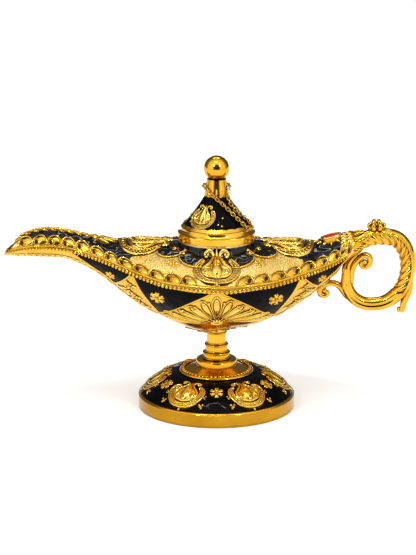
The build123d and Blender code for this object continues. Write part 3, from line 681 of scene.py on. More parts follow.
palmette = {
    "cup": [(0, 3.3, .55), (2.9, 4.0, .65), (5.5, 4.9, .70), (6.9, 7.0, .75), (6.6, 9.4, .75),
            (5.1, 11.4, .75), (3.0, 13.6, .75), (1.9, 15.2, .75), (1.5, 16.4, .75), (2.0, 17.4, .75),
            (3.2, 18.1, .75), (4.7, 17.9, .70), (5.7, 16.9, .65), (5.2, 16.1, .60), (4.4, 16.5, .55)],
    "outer": [(7.0, 14.6), (9.7, 12.4), (11.2, 8.6), (10.2, 4.4), (6.8, 1.2), (0, 0)],
    "inner": [(6.6, 13.2), (8.0, 10.8), (8.4, 8.2), (7.4, 5.2), (4.8, 2.7), (0, 1.9)],
    "drop": (0, 11.2, 3.5, 8.0, 2.0), "slit": (0, 5.7, 0.6, 1.3, 1.95),  # lobes: place, half sizes, height
    "tip": (6.6, 13.9, 1.05, 1.05, 1.1), "leaf": (4.7, 7.5, 1.3, 2.7, 1.1), "eye": (4.1, 16.9, 0.7, 0.7, 1.1),
    "bed": ([(0, 3.6), (2.8, 4.2), (5.3, 5.1), (6.7, 7.2)],
            [(0, 9.0), (1.2, 11.5), (2.4, 13.4), (5.0, 11.2)]),
    "gaps": [  # dark lines under cup and crescent: painted shade in the hollows, where the black ground also shows
        [(1.5, 2.9, .32), (3.2, 3.1, .42), (4.9, 3.6, .42), (6.6, 4.9, .36), (7.7, 6.8, .28)],
        [(1.5, -0.8, .30), (3.4, -0.6, .42), (5.6, 0.0, .42), (7.6, 1.2, .28)]],
    "loop": [(0, 3.9, .70), (2.6, 5.2, .75), (3.4, 8.0, .75), (2.6, 11.8, .70), (1.2, 15.8, .60),
             (0, 19.6, .45)],
    "pearls": 13, "pearl": 0.50, "loopPearls": 12, "loopPearl": 0.42, "foot": (0, -1.1, 0.8),
}


def raised(points, up, hand):  # a line drawn on one side, lifted for a wire
    return [(hand * u, v, up, r) for u, v, r in points]


def handed(points, hand):
    return [(hand * u, v) for u, v in points]


def palmetteSeeds(pierced):  # those on top hold a pearled loop in place of the teardrop
    gold, shade, beds = [dotAt(*palmette["foot"], up=0.2)], [], []
    if pierced:
        for hand in (-1, 1):
            gold.append(wire(raised(palmette["loop"], .75, hand)))
            lane = smoothLine([(hand * u, v) for u, v, r in palmette["loop"]], 60)
            for k in range(palmette["loopPearls"]):
                gold.append(dotAt(*lane[4 * k + 3], palmette["loopPearl"], up=1.45))
    else:
        gold.append(boss(*palmette["drop"], taper=0.88, segments=20, rings=24))
        shade.append(boss(*palmette["slit"], segments=10, rings=6))  # painted shade: a dark slot in the teardrop's foot
    for hand in (-1, 1):
        gold.append(wire(raised(palmette["cup"], .40, hand)))
        outer, inner = handed(palmette["outer"], hand), handed(palmette["inner"], hand)
        gold.append(plate(outer, inner, 24, 3, 0.5))
        gold.append(wire([(u, v, .30, .46) for u, v in outer], steps=4))
        gold.append(wire([(u, v, .30, .40) for u, v in inner], steps=4))
        lane = smoothLine([((a + c) / 2, (b + d) / 2) for (a, b), (c, d) in zip(outer, inner)], 80)
        for k in range(palmette["pearls"]):
            gold.append(dotAt(*lane[round((k + 0.7) / palmette["pearls"] * 78)], palmette["pearl"], up=0.44))
        tip, leaf, eye = ((hand * u, *rest) for u, *rest in (palmette[key] for key in ("tip", "leaf", "eye")))
        gold.append(boss(*tip, segments=10, rings=6))
        gold.append(boss(*leaf, turn=hand * 0.35, taper=0.5))
        gold.append(boss(*eye, segments=8, rings=6))
        shade += [wire(raised(line, .14, hand), steps=4) for line in palmette["gaps"]]
        low, high = palmette["bed"]
        beds.append(plate(handed(low, hand), handed(high, hand), 10, 6, 0.4, 0.5))
    return joinUp("palmetteGold", gold + beds), joinUp("palmetteShade", shade)


frontMotif = {"shelf": 5.3, "from": 12, "over": 5, "reach": 0.70}  # its arms are drawn longer above the cup
topMotif = {"scale": (1.34, 1.34, 1.1), "reach": 48.2}
footMotif = {"scale": (0.85, 0.85, 0.72), "radius": 36.6, "azimuths": (-150, -90, -30, 30, 90, 150)}
lidMotif = {"scale": (0.61, 0.6832, 0.75), "height": 94.6, "azimuths": (-35, 145)}  # clear of the chain


def stretched(u, v, w):
    return u, v + min(max(0, v - frontMotif["from"]), frontMotif["over"]) * frontMotif["reach"], w


def scaled(seed, wide, long, tall):
    return reshape(copyOf(seed), lambda u, v, w: (u * wide, v * long, w * tall))


def layPalmettes():
    rows = {"shell": ([], []), "foot": ([], []), "lid": ([], [])}
    for kind, (seed, looped) in enumerate(zip(palmetteSeeds(False), palmetteSeeds(True))):
        for side in (-1, 1):
            one = reshape(copyOf(seed), stretched)
            rows["shell"][kind].append(lay(one, hullAim(side, 0, frontMotif["shelf"]), 0.1))
        for turn, x in ((-pi / 2, -topMotif["reach"]), (pi / 2, topMotif["reach"])):
            one = scaled(looped, *topMotif["scale"])
            rows["shell"][kind].append(lay(one, plumbAim(x, 0, turn), 0.1))
        for azimuth in footMotif["azimuths"]:
            aim = footAim(radians(azimuth), footMotif["radius"])
            rows["foot"][kind].append(lay(scaled(seed, *footMotif["scale"]), aim, 0.05))
        for azimuth in lidMotif["azimuths"]:
            aim = lidAim(radians(azimuth), lidMotif["height"])
            rows["lid"][kind].append(lay(scaled(seed, *lidMotif["scale"]), aim, 0.05))
        bpy.data.objects.remove(seed)
        bpy.data.objects.remove(looped)
    for key, body in (("shell", "lamp"), ("foot", "lamp"), ("lid", "lid")):
        gold = settle(key + "Palmettes", rows[key][0], body, brightenedGold)
        if key != "lid":
            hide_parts(key + "_palmettes")
        settle(key + "Shade", rows[key][1], body, shadedGold)


layPalmettes()
print("palmettes")


# black enamel round the neck, on the spout and on the tail, with its gold edging

neck = {
    "lip": 18.95, "lift": 0.10, "thick": 0.3, "turns": 240, "rings": 28,
    "edge": [(0, 24.0), (12.5, 27.7), (26.1, 33.0), (31.0, 32.6), (36.0, 31.2), (40.6, 28.8), (43.7, 25.6),
             (45.5, 26.3), (48.5, 27.7), (53.0, 28.9), (60.5, 29.8), (68.0, 29.8), (79.0, 29.2),
             (90.0, 29.0)],
}


def neckEnamel():
    sheet = gridSheet(neck["turns"], neck["rings"])

    def wrap(x, y, z):
        turn = (x + 1) * 180
        quarter = min(turn % 180, 180 - turn % 180)
        r = neck["lip"] + (readOff(neck["edge"], quarter)[0] - neck["lip"]) * (y + 1) / 2
        return r * cos(radians(turn)), r * sin(radians(turn)), 0
    thicken(reshape(sheet, wrap), neck["thick"])
    lay(sheet, plumbAim(), neck["lift"])
    settle("neckEnamel", [sheet], "lamp", blackEnamel)
    edging = []
    for across, side in quarters:
        run = [(r * cos(radians(a)) * across, r * sin(radians(a)) * side, .22, .44)
               for a, r in neck["edge"][2:]]
        for stretch in (run[:5], run[4:]):  # two arcs that meet in a cusp
            edging.append(lay(wire(stretch, steps=6), plumbAim(), 0.1))
    settle("neckEdging", edging, "lamp", castGold)


neckEnamel()

spoutEnamel = {"start": -99.5, "middle": -41.0, "along": 90}
tailEnamel = {"start": 64.5, "middle": 41.0, "along": 44}
saddleFit = {"across": 36, "hem": 4.0, "thick": 0.3}
crescent = {"half": 13.4, "from": 36.9, "deep": 9.6, "side": 5.8, "over": 3.6}


# how far in the enamel goes: under the top palmette's crescent, then back along its side
def crescentEdge(y, hand):
    off = abs(y) - crescent["half"]
    if off < 0:
        return hand * (crescent["from"] + crescent["deep"] * sqrt(1 - (y / crescent["half"]) ** 2))
    return hand * (crescent["from"] + crescent["side"] * min(1, off / crescent["over"]))


def saddle(name, look):  # enamel that crosses the crown from one row of scallops to the other
    sheet = gridSheet(look["along"], saddleFit["across"])
    hand = 1 if look["start"] > 0 else -1
    radius, full = arcOf(look["middle"], True)[:2]
    foot = shelfAt(look["middle"]) + saddleFit["hem"]

    def spread(x, y, z):
        far = radius * sin(-y * (full - foot / radius))
        place = look["start"] + (crescentEdge(far, hand) - look["start"]) * (x + 1) / 2
        top = girthAt(place, True)
        return place, top + y * (top - shelfAt(place) - saddleFit["hem"]), 0
    thicken(reshape(sheet, spread), saddleFit["thick"])
    lay(sheet, hullAim(-1), 0.05)
    settle(name, [sheet], "lamp", blackEnamel)


saddle("spoutEnamel", spoutEnamel)
saddle("tailEnamel", tailEnamel)
print("enamel on the upper shell")


# sprigs on the cusps of the edging and faint flowers stamped in the field

sprig = {
    "place": (18.4, 17.4),
    "stem": [(0, 0, .50), (-0.7, -1.2, .52), (-1.8, -2.4, .50), (-3.0, -3.4, .48)],
    "curl": [(-0.2, -0.6, .46), (0.2, -2.8, .48), (0.9, -5.0, .50), (1.9, -6.9, .50), (3.0, -6.4, .46),
             (2.8, -4.9, .42), (1.9, -5.0, .38)],
    "bud": [(-0.1, -0.2, .46), (-1.0, -0.3, .46), (-1.95, -0.4, .46)],
    "balls": ((-3.0, -3.4, 1.0), (2.0, -5.8, 0.85), (-2.1, -0.4, 0.95)),
    "stamp": (3.1, 0.36), "stampPlace": (21.2, 16.2),
}
flower = {  # as shares of the radius: place and half sizes of petal and lobe, size of the heart
    "petals": 6, "petal": (0.52, 0.30, 0.38), "lobe": (0.84, 0.19), "lobeTall": 0.9, "spread": 0.16,
    "heart": 0.24, "heartTall": 1.5,
}


def outward(turn, far):
    return -sin(turn) * far, cos(turn) * far


def flowerSeed(petals, radius, tall):
    parts = []
    far, wide, long = (share * radius for share in flower["petal"])
    tipFar, tip = (share * radius for share in flower["lobe"])
    for k in range(petals):
        turn = 2 * pi * k / petals
        parts.append(boss(*outward(turn, far), wide, long, tall, turn=turn))
        for lean in (-flower["spread"], flower["spread"]):  # each petal ends in two round lobes
            parts.append(boss(*outward(turn + lean, tipFar), tip, tip, flower["lobeTall"] * tall,
                              segments=8, rings=6))
    heart = flower["heart"] * radius
    parts.append(boss(0, 0, heart, heart, flower["heartTall"] * tall, segments=10, rings=8))
    return joinUp("flowerSeed", parts)


def neckSprigs():
    made = []
    x0, y0 = sprig["place"]
    for across, side in quarters:
        parts = [wire([((x0 + u) * across, (y0 + v) * side, .2, r) for u, v, r in sprig[key]])
                 for key in ("stem", "curl", "bud")]
        for u, v, r in sprig["balls"]:
            parts.append(dotAt((x0 + u) * across, (y0 + v) * side, r, up=0.1))
        made += layAll(parts, plumbAim(), 0.15)
    stampX, stampV = sprig["stampPlace"]
    for across, side in quarters:
        stamp = flowerSeed(flower["petals"], *sprig["stamp"])
        made.append(lay(stamp, hullAim(side, stampX * across, stampV)))
    settle("neckSprigs", made, "lamp", castGold)


neckSprigs()
print("sprigs")


# leafy vine along the top of the spout, and leaves on the tail

vine = {
    "from": -101.5, "to": -59.0, "sway": 0.55, "wave": 8.4, "pitch": 4.2,
    "bed": [(-101.5, 1.1), (-97, 1.9), (-80, 2.2), (-64, 2.1), (-58, 1.6)],
    "leaf": (1.2, 1.6, 0.8, 1.6, 0.7), "berry": (2.6, 2.2, 0.42), "knot": (3.0, 0.62, 0.9, 1.1),
    "fan": ((0, 9.5, 1.5), (0.33, 8.2, 1.3), (-0.33, 8.2, 1.3), (0.7, 6.4, 1.2), (-0.7, 6.4, 1.2)),
    "fanRoot": -60.0, "heart": (-60.5, 0, 1.7, 1.9, 1.5),  # the fan's leaves as turn, reach and width
}


def spoutVine():
    xs = [vine["from"] + (vine["to"] - vine["from"]) * k / 40 for k in range(41)]
    edge = [(x, readOff(vine["bed"], x)[0]) for x in xs]
    made = [plate([(x, -half) for x, half in edge], edge, 80, 6, 0.5, 0.15)]
    for phase in (0, pi):
        sway = [2 * pi * x / vine["wave"] + phase for x in xs]
        made.append(wire([(x, vine["sway"] * sin(a), 0.30 + 0.22 * cos(a), 0.52) for x, a in zip(xs, sway)],
                         steps=3))
    leafX, leafY, *leafSize = vine["leaf"]
    berryX, berryY, berry = vine["berry"]
    knotX, *knotSize = vine["knot"]
    for k in range(int((vine["to"] - vine["from"]) / vine["pitch"])):
        x = vine["from"] + 2.0 + k * vine["pitch"]
        for hand in (-1, 1):
            turn = -hand * 0.95 + (0 if hand > 0 else pi)
            made.append(boss(x + leafX, hand * leafY, *leafSize, turn=turn, taper=0.85))
            made.append(dotAt(x + berryX, hand * berryY, berry))
        made.append(boss(x + knotX, 0, *knotSize, segments=8, rings=6))
    for turn, reach, wide in vine["fan"]:
        u, v = vine["fanRoot"] + reach * 0.72 * cos(turn), reach * 0.72 * sin(turn)
        made.append(boss(u, v, wide, reach * 0.62, 1.0, turn=turn - pi / 2, taper=0.8))
    made.append(boss(*vine["heart"]))
    laid = layAll(made, plumbAim(), 0.15)
    settle("spoutVine", laid, "lamp", castGold)


spoutVine()

tailLeaves = {
    "rows": [(63.6, 1.9, 2.5), (66.6, 2.0, 2.6)], "climb": (7.4, 10.0, 12.6), "tall": 0.9,
    "vein": [(-0.6, -0.4, .85, .20), (0.8, 0.3, .80, .18), (1.8, 0.8, .4, .12)],
}


def leafTail():
    made = []
    for side in (-1, 1):
        for x, wide, long in tailLeaves["rows"]:
            for k, v in enumerate(tailLeaves["climb"]):
                if v > girthAt(x, True):
                    continue
                leaf = boss(0, 0, wide, long, tailLeaves["tall"], turn=-1.15 + 0.25 * k, taper=0.85)
                vein = wire(tailLeaves["vein"], steps=3)
                made += layAll((leaf, vein), hullAim(side, x, v), 0.1)
    settle("tailLeaves", made, "lamp", castGold)


leafTail()
print("vine and tail leaves")


# leaf setting round the red stone

setting = {"x": 57.0, "long": 6.6, "wide": 4.6, "petals": 12, "top": 87.15, "slope": 0.25,
           "petal": (0.95, 1.7, 0.95), "end": (8.2, 1.2, 2.2, 1.0), "prongs": (3.6, 2.55),
           "frame": (4.6, 3.4, 0.75, 0.35)}  # the frame's half length, half width, radius and lift


def gemSetting():
    made, prongs, x0 = [], [], setting["x"]
    for k in range(setting["petals"]):
        turn = 2 * pi * k / setting["petals"]
        u, v = setting["long"] * cos(turn), setting["wide"] * sin(turn)
        made.append(boss(x0 + u, v, *setting["petal"], turn=atan2(v, u) - pi / 2, taper=0.7))
        made.append(dotAt(x0 + u * 0.83, v * 0.80, 0.55))
    far, *endSize = setting["end"]
    for hand in (-1, 1):
        made.append(boss(x0 + hand * far, 0, *endSize, turn=-hand * pi / 2, taper=0.85))
    laid = layAll(made, plumbAim(), 0.15)
    along, across = setting["prongs"]
    for k in range(4):
        turn = pi / 4 + k * pi / 2
        x, y = x0 + along * cos(turn), across * sin(turn)
        z = setting["top"] + (x - x0) * setting["slope"]
        prongs.append(wire([(x + 0.5 * cos(turn), y * 1.15, z - 1.0, .5), (x, y, z + 0.15, .48),
                            (x - 0.7 * cos(turn), y * 0.8, z + 0.75, .34)], steps=4))
    long, wide, tube, rise = setting["frame"]
    ring = []
    for k in range(24):  # thick and thin by turns
        x, y = long * cos(2 * pi * k / 24), wide * sin(2 * pi * k / 24)
        z = setting["top"] + rise + x * setting["slope"]
        ring.append((x0 + x, y, z, tube * (1.12 if k % 2 else 0.88)))
    prongs.append(wire(ring, closed=True, sides=3, steps=4))
    settle("gemLeaves", laid + prongs, "lamp", brightenedGold)


gemSetting()
print("stone set")


# lower bowl: enamel panels with flowers, gold triangles with leaves, the fan in the middle

panels = {
    "spout": {
        "low": [(-71.0, -0.6), (-61.3, -6.6), (-55.6, -9.8), (-50.5, -13.2), (-46.4, -7.2), (-42.0, -0.6)],
        "flower": (-52.3, -7.0, 2.4)},
    "middle": {
        "low": [(-41.0, -0.6), (-37.4, -8.2), (-34.2, -13.6), (-28.6, -23.2), (-25.8, -20.6), (-15, -9.0),
                (-3.0, -0.6)],
        "flower": (-28.9, -9.0, 3.7)},
    "tail": {
        "low": [(42.8, -0.6), (47.0, -6.4), (50.2, -10.2), (54, -7.8), (58, -5.2), (64.6, -0.6)],
        "flower": (52.0, -5.4, 2.2)},
}


def lowerPanels():
    sheets, lines, flowers = [], [], []
    jobs = [(panels["spout"], 1), (panels["middle"], 1), (panels["middle"], -1), (panels["tail"], 1)]
    for side in (-1, 1):
        for look, hand in jobs:
            low, aim = handed(look["low"], hand), hullAim(side)
            top = [(x, low[0][1]) for x, v in low]
            sheet = plate(low, top, 12 * (len(low) - 1), 18, 0.3, line=straightLine)
            sheets.append(lay(sheet, aim, 0.05))
            corner = min(range(len(low)), key=lambda k: low[k][1])
            for stretch in (low[:corner + 1], low[corner:]):
                lines.append(lay(wire([(x, v, .2, .48) for x, v in stretch], steps=6), aim, 0.1))
            x0, v0, radius = look["flower"]
            one = flowerSeed(flower["petals"], radius, 0.26 * radius)
            flowers.append(lay(one, hullAim(side, hand * x0, v0), 0.2))
    settle("bowlEnamel", sheets, "lamp", panelEnamel)
    settle("bowlEdging", lines, "lamp", castGold)
    settle("bowlFlowers", flowers, "lamp", castGold)


lowerPanels()
print("bowl panels")

fan = {
    "root": -22.6,
    "petals": [(0.0, -2.9, 1.75), (7.2, -5.4, 1.65), (13.2, -9.5, 1.5), (19.4, -14.0, 1.35),
               (25.4, -18.9, 1.2), (28.4, -24.6, 1.05)],  # tip across, tip down, half width
    "outline": [  # share of the length, share of the width
        (0.30, 0.38), (0.45, 0.78), (0.60, 1.12), (0.76, 1.30), (0.91, 1.02)],
    "rib": ((.2, .3), (.6, .42), (1, .3)), "rootLeaf": (0.9, 1.7, 1.3), "rootTurns": (-60, -30, 0, 30, 60),
    "foot": (3.0, 1.1, 1.4),
    "ribs": [(3.8, -6.6), (10.6, -9.6), (16.4, -13.4), (22.2, -17.8), (26.4, -22.4)],
}


def fanPetal(u, v, wide):  # a domed petal that swells to a round head, with a fine wire round it
    v0 = fan["root"]
    long = hypot(u, v - v0)
    lean = ((v0 - v) / long * wide, u / long * wide)

    def out(share, off=0.0):
        return u * share + lean[0] * off, v0 + (v - v0) * share + lean[1] * off
    petal = boss(*out(0.60), wide, long * 0.37, 1.15, turn=atan2(u, v0 - v), taper=0.75, segments=16,
                 rings=12)
    loop = fan["outline"] + [(1.01, 0.0)] + [(share, -off) for share, off in reversed(fan["outline"])]
    return [petal, wire([(*out(share, off), .18, .34) for share, off in loop], steps=4),
            dotAt(*out(0.85), wide * 0.45, up=0.75)]


def bowlFan():
    made, v0 = [], fan["root"]
    for side in (-1, 1):
        parts = []
        for hand in (-1, 1):
            for u, v, wide in fan["petals"][0 if hand > 0 else 1:]:
                parts += fanPetal(hand * u, v, wide)
            for u, v in fan["ribs"]:
                rib = [(hand * u * s, v0 + (v - v0) * s, .25, r) for s, r in fan["rib"]]
                parts.append(wire(rib, steps=4))
                parts.append(dotAt(hand * u, v, 0.7, up=0.2))
        for turn in (radians(angle) for angle in fan["rootTurns"]):
            place = (2.0 * sin(turn), v0 + 1.9 * cos(turn))
            parts.append(boss(*place, *fan["rootLeaf"], turn=-turn, taper=0.4))
        parts.append(boss(0, v0 - 0.8, *fan["foot"]))
        made += layAll(parts, hullAim(side), 0.1)
    settle("bowlFan", made, "lamp", brightenedGold)


bowlFan()

leafBed = {
    "leaves": 16, "inner": 6.2, "outer": 17.5,
    "blooms": ((-42.2, -8.0, 1.9), (-44.6, -13.0, 2.3), (-40.2, -15.4, 2.0), (-39.4, -20.6, 2.2),
               (-35.6, -22.4, 1.6), (43.4, -7.4, 1.8), (45.2, -11.2, 2.0), (41.4, -13.2, 2.0),
               (39.6, -18.0, 2.1), (35.8, -20.4, 1.6)),
    "sprout": (0.7, 1.4, 0.8), "least": 2.4,
    "rows": (  # keel and flank: places, shares of the way down, leaf, lean, shift
        ([-101 + 3.1 * k for k in range(13)], (0.45, 0.70, 0.94), (1.0, 2.0, 0.55), 0.5 - pi / 2, 1.5),
        ((-62, -57, -52, -47, -42, -37, -32, 32, 36.5, 41, 45.5, 50, 54.5, 59), (0.72, 0.84, 0.96),
         (1.5, 3.1, 0.75), pi / 2 - 0.45, 0.0)),
}


def underLeaves():
    made = []
    for k in range(leafBed["leaves"]):
        turn = 2 * pi * k / leafBed["leaves"]
        long = leafBed["outer"] * (1.0 if k % 2 else 0.82)
        reach = (leafBed["inner"] + long) / 2
        leaf = boss(reach * cos(turn), reach * sin(turn), 2.2, (long - leafBed["inner"]) / 2 + 1.2, 1.0,
                    turn=turn - pi / 2, taper=0.6)
        vein = wire([(r * cos(turn), r * sin(turn), .85, .28) for r in (leafBed["inner"], reach, long - 1)],
                    steps=3)
        made += layAll((leaf, vein), plumbAim(below=True), 0.05)
    for side in (-1, 1):
        for k, (x, v, r) in enumerate(leafBed["blooms"]):
            aim = hullAim(side, x, v)
            made.append(lay(flowerSeed(5, r, 0.42 * r), aim, 0.1))
            for turn in (0.7 + k, 2.8 + k, 4.9 + k):
                leaf = boss(*outward(turn, 1.25 * r), *leafBed["sprout"], turn=turn, taper=0.7)
                made.append(lay(leaf, aim, 0.08))
        for places, shares, leafSize, lean, shift in leafBed["rows"]:
            for x, share in ((x, share) for x in places for share in shares):
                leaf = boss(0, 0, *leafSize, turn=lean if x > 0 else -lean, taper=0.8)
                down = max(leafBed["least"], girthAt(x, False) * share)
                made.append(lay(leaf, hullAim(side, x + shift * share, -down), 0.05))
    settle("underLeaves", made, "lamp", brightenedGold)


underLeaves()
print("fan and leaves under the bowl")


# foot and lid: flowers, florets, edge ring, wavy band and dots

footTrim = {
    "flower": (3.4, 0.72), "place": 28.6, "azimuths": (0, 60, 120, 180, 240, 300), "ringKnots": 48,
    "rings": (  # turned beads on the foot's edge and the ferrules: reach, height, radius
        (37.85, 5.75, 1.2), (6.5, 27.6, 0.5), (6.5, 24.95, 0.4), (5.6, 31.8, 0.5), (5.6, 28.5, 0.4),
        (4.9, 38.2, 0.5), (4.9, 32.7, 0.4), (17.75, 18.3, 0.8)),
    "florets": ((10.4, 1.0, 0.66), (11.4, 1.7, 0.54), (11.2, 0.4, 0.54), (9.6, 1.8, 0.48), (10.2, 5.6, 0.54),
                (10.9, 6.3, 0.44), (11.0, 5.0, 0.44)),
}


def trimFoot():
    made = []
    for azimuth in footTrim["azimuths"]:
        one = flowerSeed(flower["petals"], *footTrim["flower"])
        made.append(lay(one, footAim(radians(azimuth), footTrim["place"]), 0.1))
    for azimuth in footMotif["azimuths"]:
        aim = footAim(radians(azimuth), footMotif["radius"])
        for hand in (-1, 1):
            made += layAll([dotAt(hand * u, v, r) for u, v, r in footTrim["florets"]], aim, 0.1)
    settle("footFlowers", made, "lamp", castGold)
    turns = [2 * pi * k / footTrim["ringKnots"] for k in range(footTrim["ringKnots"])]
    rings = []
    for reach, high, tube in footTrim["rings"]:
        ring = [(reach * cos(a), reach * sin(a), high, tube) for a in turns]
        rings.append(wire(ring, closed=True, sides=3, steps=4))
    settle("turnedBeads", rings, "lamp", polishedGold)


trimFoot()

lidTrim = {
    "waves": 22, "low": 92.9, "tall": 1.5, "swell": 0.45, "reach": 17.3, "thick": 0.6, "dot": 0.6,
    "dots": ((14, 99.4), (3, 96.6), (10, 96.0), (-62, 96.6), (-68, 98.2), (100, 99.2), (112, 96.6),
             (76, 97.4), (208, 99.2), (196, 96.4), (222, 96.8), (250, 97.6), (-85, 96.2)),
}


def trimLid():
    band = gridSheet(12 * lidTrim["waves"], 4)
    reach = lidTrim["reach"]

    def wrap(x, y, z):
        top = lidTrim["tall"] + lidTrim["swell"] * abs(sin(x * pi * lidTrim["waves"] / 2))
        return x * pi * reach, top * (y + 1) / 2, 0
    thicken(reshape(band, wrap), lidTrim["thick"])
    made = [lay(band, lambda u, v: lidAim(u / reach, lidTrim["low"])(0, v), 0.1)]
    for azimuth, height in lidTrim["dots"]:
        made.append(lay(dotAt(0, 0, lidTrim["dot"]), lidAim(radians(azimuth), height), 0.15))
    settle("lidTrim", made, "lid", castGold)


trimLid()
print("foot and lid trim")


# handle: root, twisted ring, inner scroll, lower curl and toe

grip = {
    "middle": (79.7, 69.3), "rows": 240, "around": 48,
    "line": [  # angle and distance from the middle
        (115, 17.6), (90, 17.9), (62, 19.2), (40, 18.2), (15, 16.3), (-15, 15.2), (-45, 15.6),
        (-75, 16.4), (-105, 17.3), (-130, 17.4), (-155, 16.1), (-185, 14.85)],
    "girth": [(0, 4.25), (0.12, 4.3), (0.25, 4.4), (0.42, 4.0), (0.54, 3.8), (0.66, 3.4), (0.90, 3.15),
              (1.0, 2.2)],
    "root": [(65.4, 82.6, 0.22, 6.5, 5.9), (68.0, 83.25, 0.25, 6.2, 5.8), (69.6, 83.9, 0.33, 5.5, 5.3),
             (71.0, 84.6, 0.40, 4.8, 4.7)],  # x, z, heading, half width, half height
    "strands": 5, "lay": 21.0, "cut": 0.26,
    "rope": [(0, 0.2), (0.06, 0.7), (0.14, 1), (0.50, 1), (0.56, 0), (1, 0)],
    "seam": [(0, 0), (0.54, 0), (0.60, 1), (0.94, 1), (1, 0.2)], "seamCut": 0.20,
    "scroll": [(67.2, 62.5, 1.5), (67.3, 66.6, 1.6), (67.8, 70.4, 1.65), (69.1, 73.5, 1.65),
               (71.2, 76.1, 1.6), (73.9, 77.8, 1.6), (76.3, 76.4, 1.55), (76.5, 73.7, 1.45),
               (74.4, 71.5, 1.35), (72.3, 72.6, 1.2), (72.6, 74.6, 1.1)],
    "curl": [(68.4, 54.6, 1.6), (65.6, 56.6, 1.8), (63.5, 59.4, 1.75), (61.7, 61.6, 1.7), (59.2, 63.1, 1.65),
             (56.0, 63.2, 1.65), (53.0, 61.7, 1.6), (51.6, 59.2, 1.5), (52.9, 57.0, 1.45), (55.2, 57.4, 1.35),
             (55.3, 59.4, 1.2)],
    "strand": [(64.9, 66.0, 2.4), (64.9, 70.4, 2.4), (65.7, 73.5, 2.0), (67.6, 76.2, 1.6), (70.2, 78.6, 1.2)],
    "toe": [(97.0, 66.5, 1.3), (96.8, 62.6, 1.75), (96.0, 58.8, 1.9), (94.6, 55.2, 1.85), (93.6, 52.2, 1.7),
            (93.2, 49.9, 1.6), (92.2, 48.8, 1.45)],
    "balls": [(73.9, 74.2, 1.5), (53.9, 59.6, 1.45), (91.7, 49.6, 1.5)],
    "bandEnd": 0.54, "bandEdge": (0.5, 0.86), "bandWire": 0.5,
    "leaves": ((66.4, 6.2, 80.6), (66.9, 5.6, 84.4), (69.4, 5.4, 81.4), (69.8, 4.6, 86.0), (72.0, 4.4, 83.4),
               (73.6, 3.8, 86.6)),
    "topLeaf": (70.4, 1.9, 89.4),
}


def ringSpine():  # (x, z, heading) round the finger hole, clockwise from the tail
    x0, z0 = grip["middle"]
    spots = [(x0 + far * cos(radians(a)), z0 + far * sin(radians(a))) for a, far in grip["line"]]
    line = smoothLine(spots, grip["rows"])
    spine = []
    for k, (x, z) in enumerate(line):
        before, after = line[max(k - 1, 0)], line[min(k + 1, len(line) - 1)]
        spine.append((x, z, atan2(after[1] - before[1], after[0] - before[0])))
    return spine


def twistedRing():
    spine = ringSpine()
    rows, run = [(*knot, 0.0, 0.0, 0.0) for knot in grip["root"]], 0.0
    length = sum(hypot(b[0] - a[0], b[1] - a[1]) for a, b in zip(spine, spine[1:]))
    for k, (x, z, heading) in enumerate(spine):
        if k:
            run += hypot(x - spine[k - 1][0], z - spine[k - 1][1])
        r = readOff(grip["girth"], run / length)[0]
        rows.append((x, z, heading, r, r, run, readOff(grip["rope"], run / length)[0],
                     readOff(grip["seam"], run / length)[0]))
    tube = gridSheet(grip["around"], len(rows) - 1)

    def bend(u, v, w):
        x, z, heading, wide, tall, gone, rope, seam = rows[round((v + 1) / 2 * (len(rows) - 1))]
        angle = (u + 1) * pi
        groove = 1 - abs(cos(grip["strands"] / 2 * angle - grip["strands"] * pi * gone / grip["lay"]))
        smooth = min(1, max(0, (0.75 - sin(angle)) / 0.5))  # the outer side of the ring is a plain band
        share = 1 - grip["cut"] * rope * smooth * groove
        share -= grip["seamCut"] * seam * exp(-(sin(angle) / 0.22) ** 2)  # two strands lie side by side below
        side, out = wide * share * cos(angle), tall * share * sin(angle)
        return x - out * sin(heading), side, z + out * cos(heading)
    weld(reshape(tube, bend), closed=True)
    return tube


def bandRun():  # where the plain band's edge runs: the ring's upper half, with its girth
    spine = ringSpine()
    picked = range(2, round(len(spine) * grip["bandEnd"]), 6)
    return [(*spine[k], readOff(grip["girth"], k / (len(spine) - 1))[0]) for k in picked]


def ballAt(x, z, radius):
    return boss(x, 0, radius, radius, radius, segments=14, rings=10, up=z)


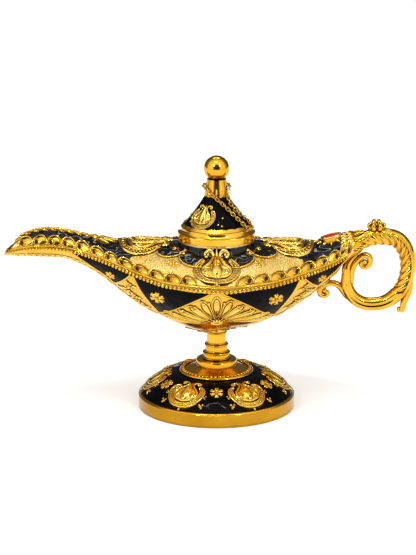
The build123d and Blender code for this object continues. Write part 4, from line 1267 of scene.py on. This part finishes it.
def leafOn(place, along, out, wide, long, tall):  # a pointed leaf lying along a direction on the surface
    leaf = boss(0, 0, wide, long, tall, taper=0.85)
    along, out = Vector(along).normalized(), Vector(out).normalized()
    across = along.cross(out)
    facing = Matrix((across, along, out)).transposed().to_4x4()
    leaf.data.transform(Matrix.Translation(Vector(place) * mm) @ facing)
    return leaf


def buildHandle():
    parts = [twistedRing()]
    for key in ("scroll", "curl", "strand", "toe"):
        parts.append(wire([(x, 0, z, r) for x, z, r in grip[key]], sides=4, steps=5))
    parts += [ballAt(*ball) for ball in grip["balls"]]
    up, off = grip["bandEdge"]
    edge = [(x - up * r * sin(h), off * r, z + up * r * cos(h)) for x, z, h, r in bandRun()]
    for hand in (-1, 1):
        parts.append(wire([(x, hand * y, z, grip["bandWire"]) for x, y, z in edge], steps=3))
        for x, y, z in grip["leaves"]:
            parts.append(leafOn((x, hand * y, z), (1, 0, 0.35), (0.1, hand, 0.25), 1.5, 2.6, 0.9))
        x, y, z = grip["topLeaf"]
        parts.append(leafOn((x, hand * y, z), (1, 0, 0.25), (-0.1, hand * 0.5, 1), 1.6, 3.2, 0.9))
    ring = settle("handleCast", parts, "lamp", polishedGold)
    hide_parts("handle")


buildHandle()

rosette = {  # curls as reach, height and radius
    "place": (79.6, 91.0), "balls": ((1.4, 2.6), (3.6, 1.5)), "tiers": (("low", 6, 0.0), ("high", 4, 0.5)),
    "low": [(0.6, -0.4, 1.3), (2.0, 0.2, 1.45), (3.2, 1.2, 1.4), (3.4, 2.4, 1.2), (2.5, 2.7, 1.0)],
    "high": [(0.5, 1.6, 1.1), (1.5, 2.8, 1.25), (1.9, 3.8, 1.1), (1.2, 4.3, 0.9)],
}


def buildRosette():
    x0, z0 = rosette["place"]
    parts = [ballAt(x0, z0 + up, radius) for up, radius in rosette["balls"]]
    for key, count, start in rosette["tiers"]:
        for k in range(count):
            turn = 2 * pi * (k + start) / count
            curl = [(x0 + r * cos(turn), r * sin(turn), z0 + h, t) for r, h, t in rosette[key]]
            parts.append(wire(curl, steps=4))
    knob = settle("leafKnob", parts, "lamp", polishedGold)
    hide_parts("handle_rosette")


buildRosette()
print("handle and knob")
